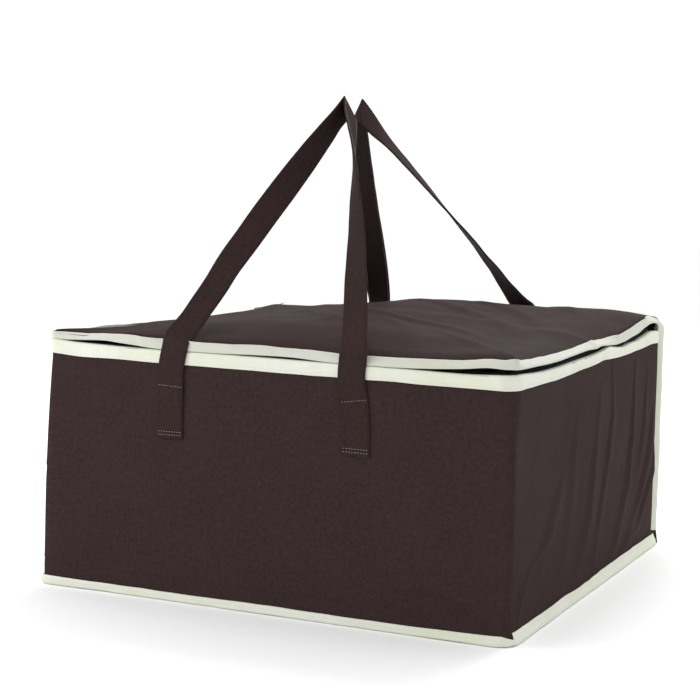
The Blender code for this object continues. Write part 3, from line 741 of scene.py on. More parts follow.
# %% Rim tape
tape_face = air + tape_gauge / 2
rim_over = lining_depth + 2 * tape_face
rim_roll = 2.0 * mm
rim_inner = 12 * mm
rim_stitch = 2.6 * mm
stitch_pitch = 3.4 * mm


def bump(at, centre, width):
    """A soft lump along a seam."""
    return np.exp(-(((at - centre * mm) / (width * mm)) ** 2))


def rim_surface(u, walk, out):
    """Point on the rim tape."""
    low = rim_low + line(rim_low_lift, u) + 0.35 * mm * ripple(u, 0 * u, 0.035, 2.2)
    top = rim_top + line(rim_top_lift, u) - tape_gauge / 2
    low = np.minimum(low, top - 8 * mm)
    depth, rise = folded(walk, top - low, rim_over, rim_roll)
    puff = 0.35 * mm * ripple(u, walk, 0.022, 5.1) + 0.25 * mm * ripple(u, walk, 0.008, 8.3)
    puff += 0.9 * mm * bump(u, 492, 9) + 0.5 * mm * bump(u, -180, 14)
    puff -= drawn_in(walk, u, rim_stitch, stitch_pitch)
    outer = depth < rim_over / 2
    reach = np.where(outer, puff + out, -puff * 0.4 - out)
    over = smooth((rise - (top - low) + 1.5 * mm) / (1.5 * mm)) * out
    x, y, facing_x, facing_y = wall_point(u, tape_radius_at(u, depth))
    reach = mitred(u, facing_x, facing_y, tape_face - depth + reach)
    return np.stack((x + facing_x * reach, y + facing_y * reach, low + rise + over), 1)


def tape_piece(name, surface, columns, rows, reach, length, fine=None):
    """Cut a tape and lay it on its surface, from one end of its run to the other."""
    stations = np.linspace(-reach, reach, columns + 1)
    if fine:
        closer = np.arange(fine - 12 * mm, fine + 12 * mm, 0.5 * mm)
        stations = np.unique(np.concatenate((stations, closer)))
    piece, across, up = cut(name, len(stations) - 1, rows)
    u = stations[np.rint(across * (len(stations) - 1)).astype(int)]
    walk = up * length
    lay(piece, surface(u, walk, 0 * u), u, walk)
    thicken(piece, tape_gauge)
    return piece


rim_length = folded_length(rim_top - rim_low, rim_over, rim_roll, rim_inner)
rim_tape = tape_piece("rim_tape", rim_surface, 700, 26, lining_reach, rim_length)
dress(rim_tape, cream_tape, ["rim_binding"], "bag_body")

# %% Base tape
base_radius = 6 * mm


def square_route(u, back, near=band_radius):
    """Point and outward direction on the rounded square at a distance from the middle of its front."""
    side = np.sign(u)
    distance = np.abs(u)
    front = np.where(u > 0, near, left_radius)
    arc = front * math.pi / 2
    straight = band_radius - front
    walk = np.clip((distance - front_run) / corner_run, 0, 1) * (2 * straight + arc)
    turn = np.clip((walk - straight) / front, 0, math.pi / 2)
    past = np.clip(walk - straight - arc, 0, None)
    along = 2 * half - band_radius - back
    run = np.clip(distance - side_start, 0, along)
    second = np.clip((distance - side_start - along) / back, 0, math.pi / 2)
    rest = np.clip(distance - side_start - along - back * math.pi / 2, 0, None)
    x = np.minimum(distance, front_run) + np.minimum(walk, straight) + front * np.sin(turn)
    x = x - back * (1 - np.cos(second)) - rest
    y = -half + front * (1 - np.cos(turn)) + past + run + back * np.sin(second)
    angle = turn + second
    return x * side, y, np.sin(angle) * side, -np.cos(angle)


base_over = cloth_gauge + 2 * tape_face
base_stitch = 3.2 * mm
tape_roll = 0.75 * mm
base_inner = 12.5 * mm
base_corner = base_radius * math.pi / 2
base_reach = side_start + 2 * half - band_radius - base_radius + base_corner + half - base_radius
base_lap = 449 * mm
base_lap_end = 700 * mm
base_edge_lift = (
    (-907, -3), (-500, -3), (-250, -4.2), (-220, -4.6), (-160, -5.6), (-100, -6.0), (0, -5.6),
    (120, -6.0), (188, -5.4), (211, -4.9), (223, -4.5), (231, -7.7), (232, -2.5), (262, -2.4),
    (300, -2.6), (360, -2.2), (420, -3.0), (560, -2.2), (670, -2.0), (907, -3),
)


def base_surface(u, walk, out):
    """Point on the base tape: its open edge is up and its fold is down."""
    edge = 0.3 * mm * ripple(u, 0 * u, 0.030, 3.3)
    edge += 0.9 * mm * smooth((u - base_lap) / (1.2 * mm)) * smooth((base_lap_end - u) / 0.05)
    edge += np.interp(u, *(np.array(base_edge_lift).T * mm))
    top = base_top + edge
    flank = top - base_low - tape_gauge / 2
    depth, rise = folded(walk, flank, base_over, tape_roll)
    z = top - rise
    roll = 1.1 * mm * np.exp(-(((z - 4.6 * mm) / (3.6 * mm)) ** 2))
    roll += 0.3 * mm * ripple(u, walk, 0.018, 6.6) + 0.12 * mm * ripple(u, walk, 0.006, 1.9)
    roll += 0.45 * mm * smooth((u - base_lap) / (1.0 * mm)) * smooth((base_lap_end - u) / 0.05)
    roll -= drawn_in(walk, u, base_stitch, stitch_pitch)
    outer = depth < base_over / 2
    x, y, facing_x, facing_y = square_route(u, base_radius, corner_radius_at(np.abs(u), z))
    reach = tape_face - depth + foot_out(u, z) + np.where(outer, roll + out, -out)
    reach = mitred(u, facing_x, facing_y, reach)
    return np.stack((x + facing_x * reach, y + facing_y * reach, z), 1)


base_length = folded_length(base_top - base_low, base_over, tape_roll, base_inner)
base_tape = tape_piece("base_tape", base_surface, 900, 22, base_reach, base_length, notch)
dress(base_tape, cream_tape, ["base_binding"], "bag_body")

# %% Tapes of the two back corners
corner_flank = 7.6 * mm
corner_root = 3.2 * mm
corner_curl = 6 * mm
corner_roll = 0.9 * mm
corner_face = cloth_gauge + air / 2 + tape_face
curl_end = 1.35
corner_low = skirt_height + air
seam_corner = (2 * cloth_gauge + air) / math.sqrt(2)


corner_tops = {-1: rim_top - 9 * mm, 1: rim_top + 1 * mm}


def corner_surface_of(side):
    """Surface of the tape down one back corner: it is folded round the turned-out seam."""
    middle = Vector((side * (half - seam_corner / 2), half - seam_corner / 2))
    away = Vector((side, 1)).normalized()
    wide = Vector((side, -1)).normalized()
    corner_top = corner_tops[side]

    def surface(z, walk, out):
        sway = 0.8 * mm * ripple(z, 0 * z, 0.060, 3.0 + side)
        narrow = 0.7 * mm * ripple(z, 0 * z, 0.030, 9.0 + side)
        flank = corner_flank + narrow
        depth, rise = folded(walk, flank, 2 * corner_face, corner_roll)
        puff = 0.25 * mm * ripple(z, walk, 0.014, 4.4)
        across = corner_face - depth + np.where(depth < corner_face, puff + out, -puff - out) + sway
        turn = np.clip((z - corner_top) / corner_curl, 0, None)
        reach = corner_curl + rise - corner_root
        along = reach * np.cos(turn) - corner_curl
        x = middle.x + away.x * along + wide.x * across
        y = middle.y + away.y * along + wide.y * across
        return np.stack((x, y, np.minimum(z, corner_top) + reach * np.sin(turn)), 1)

    return surface


for side, name in ((-1, "left"), (1, "right")):
    surface = corner_surface_of(side)
    piece, across, up = cut(f"corner_tape_{name}", 110, 18)
    height = corner_low + (corner_tops[side] + curl_end * corner_curl - corner_low) * across
    length = folded_length(corner_flank, 2 * corner_face, corner_roll, corner_flank)
    walk = up * length
    lay(piece, surface(height, walk, 0), height, walk)
    thicken(piece, tape_gauge)
    dress(piece, cream_tape, [f"corner_binding_{name}"], "bag_body")

# %% [markdown]
# ## Lid
#
# The lid and the back wall are one piece of cloth that bends on the hinge line, so they
# are laid as one grid. Rings of the grid grow from the middle of the lid to its edge;
# past the edge they turn down as the lip, and at the back they run on down the wall.

# %% Lid outline and edge
lid_edge_rise = 1.5 * mm
tape_flank = lid_band_top - lid_low
lid_bend = 3.0 * mm


def outline(a, b, size):
    """Plan point, direction and distance round the bag at a point of the unit square's edge."""
    full = np.where(b < 0, band_radius, lid_back_radius)
    radius = np.where((a < 0) & (b < 0), left_radius, full) * size**3
    on_side = np.abs(a) >= np.abs(b)
    share = np.where(on_side, np.abs(b), np.abs(a))
    straight = half - radius
    walk = share * (straight + radius * math.pi / 4)
    angle = np.clip((walk - straight) / radius, 0, math.pi / 4)
    far = straight + radius * np.cos(angle)
    near = np.minimum(walk, straight) + radius * np.sin(angle)
    x = np.where(on_side, far, near) * np.sign(a)
    y = np.where(on_side, near, far) * np.sign(b)
    facing_x = np.where(on_side, np.cos(angle), np.sin(angle)) * np.sign(a)
    facing_y = np.where(on_side, np.sin(angle), np.cos(angle)) * np.sign(b)
    plain = half - full
    bent = np.clip(walk - plain, 0, None) * (full * math.pi / 4)
    bent = bent / np.maximum(straight + radius * math.pi / 4 - plain, 1e-6)
    round_walk = np.minimum(walk, plain) + bent
    along_side = side_offset + np.sign(b) * round_walk
    along_back = half_way - round_walk
    along_front = round_walk
    u = np.where(on_side, along_side, np.where(b < 0, along_front, along_back))
    return x, y, facing_x, facing_y, u * np.where(a < 0, -1, 1)


def lid_bottom_at(u):
    """Height of the lower edge of the lid's tape."""
    return lid_low + line(lid_low_lift, u)


def lid_top_at(u):
    """Height of the upper edge of the lid's tape."""
    return lid_band_top + line(lid_top_lift, u)


def sagged_at(u):
    """Where the cloth sags below the top of its tape, on the left side near the front."""
    return smooth((-u - 0.230) / 0.014) * smooth((u + 0.40) / 0.07)


def lean_at(u):
    """How far the tape leans in: it keeps its width, so a low band leans more."""
    tall = lid_top_at(u) - lid_bottom_at(u)
    at_back = smooth((np.abs(u) - 0.668) / 0.016)
    pressed = 2.6 * mm * (bump(u, strap_left / mm, 15) + bump(u, strap_right / mm, 15))
    held = (1 - at_back) * (1 - bump(u, -228, 10)) * (1 - 0.75 * sagged_at(u))
    return np.sqrt(np.clip(tape_flank**2 - tall**2, 0, None) + pressed**2) * held


def lip_at(u, share, out):
    """Reach and height on the lip, from its lower edge to the lid's edge, and out from it."""
    low = lid_bottom_at(u)
    tall = lid_top_at(u) - low
    lean = lean_at(u)
    slope = 1.5 * lean * np.sqrt(np.clip(share, 0, None))
    length = np.hypot(tall, slope)
    reach = -lean * np.clip(share, 0, None) ** 1.5 + out * tall / length
    return reach, low + tall * share + out * slope / length


# %% Crown and folds of the lid
lid_crown = 20 * mm
lid_folds = (
    (((-60, 175), (40, 92), (130, 5), (185, -60)), 9, 1.5),
    (((-30, 10), (50, -50), (135, -91), (205, -150)), 8, 1.4),
    (((50, 165), (140, 66), (203, -22)), 10, 1.5),
    (((-150, 60), (-60, -20), (20, -110), (62, -190)), 12, 1.1),
    (((100, 205), (170, 132), (218, 60)), 9, 1.2),
    (((-190, -60), (-120, -130), (-60, -200)), 12, 1.0),
    (((-160, 190), (-100, 120), (-40, 60)), 14, 1.2),
    (((120, -120), (170, -165), (208, -205)), 7, 1.0),
    (((10, -30), (90, -120), (120, -190)), 9, 0.9),
)


def edge_plane(x, y):
    """Height of the lid's edge carried inward from all four sides."""
    limit = half - lid_back_radius
    x_in = np.clip(x, -limit, limit)
    y_in = np.clip(y, -limit, limit)
    front = lid_top_at(x_in)
    back = lid_top_at(np.sign(x_in) * (half_way - np.abs(x_in)))
    right = lid_top_at(side_offset + y_in)
    left = lid_top_at(-(side_offset + y_in))
    share_x = (x_in + limit) / (2 * limit)
    share_y = (y_in + limit) / (2 * limit)
    ends_x = left * (1 - share_x) + right * share_x
    ends_y = front * (1 - share_y) + back * share_y
    corners = (
        lid_top_at(np.array(-limit)) * (1 - share_x) * (1 - share_y)
        + lid_top_at(np.array(limit)) * share_x * (1 - share_y)
        + lid_top_at(np.array(-(side_offset + limit))) * (1 - share_x) * share_y
        + lid_top_at(np.array(side_offset + limit)) * share_x * share_y
    )
    return ends_x + ends_y - corners


def edge_rise_at(u):
    """The cloth rolls up over its tape, and sags below the tape's edge at the front left."""
    return lid_edge_rise - 5.0 * mm * sagged_at(u)


def lid_height(x, y, size, u):
    """Height of the lid's cloth."""
    edge = lid_top_at(u) + edge_rise_at(u)
    inner = edge_plane(x, y) + lid_edge_rise
    base = inner + (edge - inner) * size**6
    slack = 1 - 0.74 * smooth((0.01 - x) / 0.20) - 0.15 * smooth((x - 0.08) / 0.12)
    crown = lid_crown * (1 - size**3) * slack
    calm = 1 - smooth((size - 0.80) / 0.19)
    soft = 1.3 * mm * ripple(x, y, 0.110, 2.7) + 0.5 * mm * ripple(x, y, 0.045, 6.1)
    soft += 0.15 * mm * ripple(x, y, 0.016, 3.9)
    for points, width, height in lid_folds:
        soft = soft + fold(x, y, points, width, height)
    return base + crown + soft * calm


def lid_surface(a, b, drop):
    """Point of the lid's top at grid shares from -1 to 1, lowered by a distance."""
    size = np.maximum(np.maximum(np.abs(a), np.abs(b)), 1e-6)
    x, y, facing_x, facing_y, u = outline(a / size, b / size, size)
    inset = (lean_at(u) + lid_bend * smooth((size - 0.9) / 0.1)) * size**10
    sharp = (a < 0) & (b < 0)
    inset = np.where(sharp, inset / np.maximum(np.abs(facing_x), np.abs(facing_y)), inset)
    x = x * size - facing_x * inset
    y = y * size - facing_y * inset
    return np.stack((x, y, lid_height(x, y, size, u) - drop), 1)


# %% Lid and back wall in one cloth
lip_columns = 7
lid_cells = 59
back_height = lid_band_top + lid_edge_rise
back_folds = (
    (((-150, 200), (-120, 120), (-60, 40)), 12, 1.4),
    (((120, 205), (150, 130), (205, 60)), 10, 1.5),
    (((30, 190), (20, 110), (60, 30)), 14, 1.1),
    (((-215, 90), (-170, 40), (-120, 12)), 6, 1.5),
    (((215, 100), (180, 45), (140, 12)), 6, 1.5),
)


def back_surface(s, z, out):
    """Point on the back wall at a distance from its middle and a height."""
    held = smooth((z - 4 * mm) / (30 * mm)) * smooth((0.226 - z) / 0.03)
    ends = smooth((half - np.abs(s)) / (22 * mm))
    bulge = (1.8 * mm * ripple(s, z, 0.150, 9.3) + 0.5 * mm * ripple(s, z, 0.05, 5.5)) * held * ends
    for points, width, height in back_folds:
        bulge = bulge + fold(s, z, points, width, height) * held * ends
    corner = half - seam_corner
    turned = np.clip(np.abs(s) - corner, 0, None) / math.sqrt(2)
    dip = back_dip * smooth((np.abs(s) - corner + 9 * mm) / (9 * mm))
    x = (np.minimum(np.abs(s), corner) + turned - dip) * np.sign(s)
    reach = bulge + skirt_out(z) + out - dip
    return np.stack((x, half + turned + reach, z), 1)


def lid_and_back_cloth():
    """The one cloth of the lid, its lip and the back wall."""
    down = int(back_height / (4 * mm))
    columns = 2 * lid_cells + 2 * lip_columns
    rows = 2 * lid_cells + lip_columns + down
    piece, across, up = cut("lid_and_back_cloth", columns, rows)
    column = np.rint(across * columns) - lip_columns
    row = np.rint(up * rows) - lip_columns
    a = column / lid_cells - 1
    b = row / lid_cells - 1
    outside = (np.abs(a) > 1 + 1e-6) & (b > 1 + 1e-6)
    lip = np.maximum(np.maximum(np.abs(a), -b) - 1, 0) * lid_cells / lip_columns
    size = np.maximum(np.maximum(np.abs(a), np.abs(np.minimum(b, 1))), 1e-6)
    on_lip = lip > 1e-6
    a_in = np.clip(a, -1, 1)
    b_in = np.clip(b, -1, 1)
    places = lid_surface(a_in, b_in, cloth_gauge / 2)
    x, y, facing_x, facing_y, u = outline(a / size, np.minimum(b, 1) / size, 0 * a + 1)
    raised_share = (tape_face + tape_gauge / 2) / tape_flank
    lip_top = 1 - 0.5 * sagged_at(u)
    lip_share = raised_share + (1 - raised_share) * np.clip(1 - lip, 0, 1) * lip_top
    reach, height = lip_at(u, lip_share, -cloth_gauge / 2)
    reach = mitred(u, facing_x, facing_y, reach)
    lipped = np.stack((x + facing_x * reach, y + facing_y * reach, height), 1)
    places = np.where(on_lip[:, None], lipped, places)
    fall = np.clip(b - 1, 0, None) * lid_cells / down
    z = back_height - fall * (back_height - cloth_foot)
    wall = back_surface(a_in * (half + seam_allowance), z, 0 * a - cloth_gauge / 2)
    start = lid_surface(a_in, np.ones_like(a), cloth_gauge / 2)
    turn = smooth((start[:, 2] - z) / (4 * mm))
    settle = smooth((back_height - z) / (22 * mm))
    x, y, facing_x, facing_y, _ = outline(a_in, np.ones_like(a), np.ones_like(a))
    half_gauge = cloth_gauge / 2
    rounded = np.stack((x - facing_x * half_gauge, y - facing_y * half_gauge, z), 1)
    hanging = start * (1 - turn[:, None]) + rounded * turn[:, None]
    hanging[:, 2] = np.minimum(start[:, 2], z)
    hanging = hanging * (1 - settle[:, None]) + wall * settle[:, None]
    hanging[:, 2] = np.where(fall > 0, np.minimum(start[:, 2], z), hanging[:, 2])
    places = np.where((fall > 1e-6)[:, None], hanging, places)
    lay(piece, places, a * half, b * half)
    remove_points(piece, outside)
    thicken(piece, cloth_gauge)
    return piece


def remove_points(piece, chosen):
    """Delete the chosen points of a piece."""
    deselect()
    bpy.context.view_layer.objects.active = piece
    piece.select_set(True)
    bpy.ops.object.mode_set(mode="EDIT")
    bpy.ops.mesh.select_all(action="DESELECT")
    bpy.ops.object.mode_set(mode="OBJECT")
    piece.data.vertices.foreach_set("select", chosen)
    bpy.ops.object.mode_set(mode="EDIT")
    bpy.ops.mesh.delete(type="VERT")
    bpy.ops.object.mode_set(mode="OBJECT")


lid_cloth = lid_and_back_cloth()
dress(lid_cloth, brown_cloth, ["lid_panel", "back_panel"])
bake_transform(lid_cloth)


# %% Lid foam and lining
def lid_layer(name, count, drop, gauge, edge_gauge):
    """A layer under the lid's cloth; it thins at its edge, where it is sewn in."""
    piece, across, up = cut(name, count, count)
    a = across * 2 - 1
    b = up * 2 - 1
    size = np.maximum(np.abs(a), np.abs(b))
    share = 1 - 6 * mm / half
    thin = smooth((size - 0.86) / 0.14)
    local = gauge * (1 - thin) + edge_gauge * thin
    lay(piece, lid_surface(a * share, b * share, drop + local / 2), a * half, b * half)
    group = piece.vertex_groups.new(name="gauge")
    for index, value in enumerate(local / gauge):
        group.add([index], float(value), "REPLACE")
    apply(piece, "SOLIDIFY", thickness=gauge, offset=0.0, vertex_group="gauge")
    outward(piece)
    return piece


lid_foam = lid_layer("lid_foam_sheet", 90, foam_depth, foam_gauge, 1.0 * mm)
dress(lid_foam, white_foam, ["lid_foam"], "lid")
lid_lining = lid_layer("lid_lining", 100, foil_depth, foil_gauge, foil_gauge)
dress(lid_lining, silver_lining, ["lid_foil"], "lid")

# %% Lid tape
lid_over = cloth_gauge + 2 * tape_face
lid_inner = 6.0 * mm
lid_stitch = 2.4 * mm
lid_tape_reach = 0.689


def lid_tape_surface(u, walk, out):
    """Point on the lid's tape: its fold is down and it leans in with the lip."""
    x, y, facing_x, facing_y = square_route(u, lid_back_radius)
    depth, rise = folded(walk, tape_flank, lid_over, tape_roll)
    share = np.clip(1 - rise / tape_flank, 0, 1.1)
    lump = 1.3 * mm * bump(u, 229, 4) + 1.2 * mm * bump(u, 449, 6) + 0.5 * mm * bump(u, 300, 12)
    puff = 0.25 * mm * ripple(u, walk, 0.020, 7.1) + 0.18 * mm * ripple(u, walk, 0.007, 2.3) + lump
    puff -= drawn_in(walk, u, lid_stitch, stitch_pitch) * 0.8
    edge = 0.35 * mm * ripple(u, 0 * u, 0.028, 8.8) * share
    outer = depth < lid_over / 2
    reach, height = lip_at(u, share, tape_face - depth + np.where(outer, puff + out, -out))
    reach = mitred(u, facing_x, facing_y, reach)
    tuck = 7 * mm * smooth((np.abs(u) - 0.672) / 0.017)
    return np.stack((x + facing_x * reach, y + facing_y * reach, height + edge - tuck), 1)


lid_tape_length = folded_length(tape_flank, lid_over, tape_roll, lid_inner)
lid_tape = tape_piece("lid_tape", lid_tape_surface, 760, 18, lid_tape_reach, lid_tape_length)
# The lid's tape takes the darker copy of the cream tape, whose darker tone is painted shade.
dress(lid_tape, painted_shade_tape, ["lid_binding"], "lid")

# %% [markdown]
# ## Back and base linings
#
# The remaining layers are flat sheets with the outline of the base, and the foam and
# lining of the back wall.

# %% Back foam and lining, base cloth, foam and lining
for name, node, material, slot, depth, gauge, low in (
    ("back_foam_sheet", "back_foam", white_foam, "white_foam", foam_depth, foam_gauge,
     skirt_height + air),
    ("back_lining", "back_foil", silver_lining, "silver_lining", foil_depth, foil_gauge,
     foil_floor + air),
):
    piece, across, up = cut(name, 90, 46)
    s = (across * 2 - 1) * (half - lining_depth - air)
    z = low + (foam_top - low) * up
    lay(piece, back_surface(s, z, -(depth + gauge / 2)), s, z)
    thicken(piece, gauge)
    dress(piece, material, [node], "bag_body")


def base_layer(name, node, material, count, depth, low, gauge, wave):
    """A flat sheet on the base, a little uneven."""
    piece, across, up = cut(name, count, count)
    a = across * 2 - 1
    b = up * 2 - 1
    size = np.maximum(np.maximum(np.abs(a), np.abs(b)), 1e-6)
    x, y, facing_x, facing_y, _ = outline(a / size, b / size, size)
    x = x * size - facing_x * depth * size**4
    y = y * size - facing_y * depth * size**4
    rise = wave * (0.5 + 0.5 * ripple(x, y, 0.05, 4.9)) * (1 - smooth((size - 0.9) / 0.1))
    lay(piece, np.stack((x, y, low + gauge / 2 + np.clip(rise, 0, None)), 1), x, y)
    thicken(piece, gauge)
    dress(piece, material, [node], "bag_body")


base_inset = foam_depth + tape_gauge + air - skirt_flare
base_layer("base_cloth", "base_panel", brown_cloth, 80, base_inset, 0, cloth_gauge, 0)
base_layer(
    "base_foam_sheet", "base_foam", white_foam, 60, foam_depth,
    foam_depth, foam_gauge, 0)
base_layer(
    "base_lining", "base_foil", silver_lining, 90, foam_depth,
    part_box("base_foil")[0].z, foil_gauge, 0.9 * mm)

# %% [markdown]
# ## Zipper
#
# Each half is a woven tape with a nylon coil sewn to its edge. The coil is one wire wound
# round and round, so it is a tube along a helix. The chain runs half way between the rim
# and the lid, a little inside the walls.

# %% Zip tapes and coils
chain_depth = 9 * mm
coil_pitch = 1.5 * mm
coil_wire = 0.30 * mm
chain_half = 2.9 * mm
zip_reach = side_offset + half - 20 * mm


def chain_at(u):
    """Height of the middle of the chain."""
    return (rim_top + line(rim_top_lift, u) + lid_bottom_at(u)) / 2


def inside_route(u, depth, z):
    """Point at a depth inside the walls' outer face."""
    x, y, facing_x, facing_y = wall_point(u, band_radius + 0 * u)
    return np.stack((x - facing_x * depth, y - facing_y * depth, z), 1)


def lower_zip_surface(u, share, out):
    """The lower tape: sewn inside the rim tape, stepping in and up to the chain."""
    top = chain_at(u) - chain_half
    low = rim_low + 0.5 * mm
    step = smooth((share - 0.35) / 0.25)
    depth = (lining_depth + 2 * tape_face + air + tape_gauge) * (1 - step) + chain_depth * step
    return inside_route(u, depth - out, low + (top - low) * share)


def upper_zip_surface(u, share, out):
    """The upper tape: from under the lid's edge down to the chain."""
    low = chain_at(u) + chain_half
    high = np.maximum(lid_top_at(u) - 3.6 * mm, low + 2 * mm)
    across = smooth((share - 0.55) / 0.45)
    depth = chain_depth + 1.1 * mm - (chain_depth - 1.9 * mm) * across
    return inside_route(u, depth - out, low + (high - low) * np.minimum(share / 0.6, 1))


for name, surface, node, body, width, under in (
    ("zip_tape_below", lower_zip_surface, "zip_tape_lower", "bag_body", 10.5 * mm, "rim_binding"),
    ("zip_tape_above", upper_zip_surface, "zip_tape_upper", "lid", 10 * mm, "lid_binding"),
):
    piece = tape_piece(name, surface, 420, 10, zip_reach, 1.0)
    dress(piece, zip_cloth, [node], body)


def tube(name, points, radius, sides, upward):
    """A round wire along points, made as one mesh."""
    heading = np.gradient(points, axis=0)
    heading /= np.linalg.norm(heading, axis=1)[:, None]
    upright = np.cross(heading, np.array(upward))
    upright /= np.linalg.norm(upright, axis=1)[:, None]
    aside = np.cross(heading, upright)
    angles = np.arange(sides) * 2 * np.pi / sides
    across = upright[:, None] * np.cos(angles)[None, :, None]
    rings = points[:, None] + radius * (across + aside[:, None] * np.sin(angles)[None, :, None])
    count = len(points)
    base = (np.arange(count - 1) * sides)[:, None]
    here = np.arange(sides)
    after = (here + 1) % sides
    faces = np.stack((base + here, base + after, base + sides + after, base + sides + here), 2)
    quads = faces.reshape(-1, 4).tolist()
    ends = [list(range(sides))[::-1], list(range((count - 1) * sides, count * sides))]
    mesh = bpy.data.meshes.new(name)
    mesh.from_pydata(rings.reshape(-1, 3).tolist(), [], quads + ends)
    mesh.uv_layers.new(name="UVMap")
    piece = bpy.data.objects.new(name, mesh)
    bpy.context.scene.collection.objects.link(piece)
    outward(piece)
    return piece


def coil(name, rise, node, body):
    """One coil half: a wire wound along the chain."""
    turns = int(2 * zip_reach / coil_pitch)
    share = np.linspace(0, 1, turns * 8 + 1)
    u = (share * 2 - 1) * zip_reach
    angle = share * turns * 2 * math.pi
    depth = chain_depth + 0.75 * mm * np.cos(angle)
    z = chain_at(u) + rise + 0.65 * mm * np.sin(angle)
    piece = tube(name, inside_route(u, depth, z), coil_wire, 4, (0.02, 0.03, 1.0))
    return dress(piece, zip_coil, [node], body)


coil("zip_coil_below", -1.7 * mm, "zip_coil_lower", "bag_body")
coil("zip_coil_above", 1.7 * mm, "zip_coil_upper", "lid")
for node in ("zip_slider", "zip_pull"):
    frame["nodes"][node].data.materials.clear()
    frame["nodes"][node].data.materials.append(dark_metal)

# %% [markdown]
# ## Handles
#
# Each handle is one strap: sewn flat to the wall, up past the rim, in over the lid, and
# folded at the top, with a quarter turn in each leg. Its line and its turn are worked
# out as in the CAD model, and the strap is laid along it as a flat strip.

# %% Line of a strap
strap_off = 2.2 * mm
bend_radii = (10 * mm, 1.6 * mm, 1.6 * mm, 10 * mm)


def rounded_line(points, radii, steps):
    """A line through points with its inner corners rounded."""
    places = [points[0]]
    for number, radius in enumerate(radii, 1):
        corner = points[number]
        back = (points[number - 1] - corner).normalized()
        ahead = (points[number + 1] - corner).normalized()
        half_turn = (math.pi - back.angle(ahead)) / 2
        centre = corner + (back + ahead).normalized() * (radius / math.cos(half_turn))
        start = corner + back * radius * math.tan(half_turn) - centre
        end = corner + ahead * radius * math.tan(half_turn) - centre
        whole = start.angle(end)
        for step in range(steps + 1):
            share = step / steps
            turned = start * math.sin((1 - share) * whole) + end * math.sin(share * whole)
            places.append(centre + turned / math.sin(whole))
    places.append(points[-1])
    return places


def strap_stations(facing, twist, power, strap_bend, apex, tip, fold, fold_reach, sways):
    """Places, headings, faces and widths along a strap, and where its fold starts and ends.

    The two legs meet in a narrow fold that is a cone: its upper edge is a tip, and its
    lower edge is as wide as the fold. Away from the fold the width is square to the leg.
    """
    out = facing * (half + strap_off)
    folds = [Vector((apex.x + side * fold / 2, facing * apex.y, apex.z)) for side in (-1, 1)]
    points = [
        Vector((strap_left, out, strap_foot)),
        Vector((strap_left, out, strap_bend)),
        *folds,
        Vector((strap_right, out, strap_bend)),
        Vector((strap_right, out, strap_foot)),
    ]
    rounded = rounded_line(points, bend_radii, 10)
    places = []
    for number in range(len(rounded) - 1):
        gap = (rounded[number + 1] - rounded[number]).length
        pieces = max(1, int(gap / (3 * mm)))
        for step in range(pieces):
            places.append(rounded[number].lerp(rounded[number + 1], step / pieces))
    places.append(rounded[-1])
    places = np.array(places)
    on_left = np.arange(len(places)) < len(places) / 2
    sway = [line(points, places[:, 2]) for points in sways]
    places[:, 0] += np.where(on_left, *sway)
    marks = np.concatenate(([0], np.cumsum(np.linalg.norm(np.diff(places, axis=0), axis=1))))
    heading = np.gradient(places, marks, axis=0)
    heading /= np.linalg.norm(heading, axis=1)[:, None]
    plane = np.array((points[2] - points[1]).cross(points[4] - points[3]).normalized())
    rise = (places[:, 2] - strap_bend) / (apex.z - strap_bend)
    turn = math.pi / 2 * np.clip(rise, 0, 1) ** power
    wall = np.array((0.0, facing, 0.0))
    flat = wall - heading * (heading @ wall)[:, None]
    flat /= np.linalg.norm(flat, axis=1)[:, None]
    edge = np.cross(plane, heading) * twist
    edge -= flat * np.sum(edge * flat, axis=1)[:, None]
    edge /= np.linalg.norm(edge, axis=1)[:, None]
    face = flat * np.cos(turn)[:, None] + edge * np.sin(turn)[:, None]
    width = np.cross(heading, face)
    first, last = (marks[np.argmin(np.linalg.norm(places - np.array(f), axis=1))] for f in folds)
    share = np.clip((marks - first) / (last - first), 0, 1)[:, None]
    foot_of_fold = np.array(folds[0]) * (1 - share) + np.array(folds[1]) * share
    slant = (foot_of_fold - np.array(tip)) / (strap_width / 2)
    slant *= np.sign(np.sum(slant * width, axis=1)[np.argmin(np.abs(marks - first + fold_reach))])
    away = np.maximum(np.maximum(first - marks, marks - last), 0)
    folding = (1 - smooth(away / fold_reach))[:, None]
    width = width * (1 - folding) + slant * folding
    face = np.cross(width, heading)
    face /= np.linalg.norm(face, axis=1)[:, None]
    sewn = smooth((strap_row + 12 * mm - places[:, 2]) / (10 * mm))
    near = np.minimum(places[:, 2], rim_low)
    drape = wall_out(places[:, 0], near) if facing < 0 else 0 * near
    places[:, 1] += facing * (drape - 0.8 * mm) * sewn
    return marks, places, face, width, (first + last) / 2


def strap_surface_of(facing, *form):
    """Surface of a strap's middle, the strap's length and the place of its fold."""
    marks, places, face, width, middle = strap_stations(facing, *form)

    def at(values, along):
        return np.stack([np.interp(along, marks, values[:, k]) for k in range(3)], 1)

    def surface(along, across, out):
        face_out = at(face, along)
        face_out /= np.linalg.norm(face_out, axis=1)[:, None]
        out = np.zeros_like(along) + out + 0.25 * mm * ripple(along, across, 0.020, 1.3 + facing)
        return at(places, along) + at(width, along) * across[:, None] + face_out * out[:, None]

    return surface, marks[-1], middle


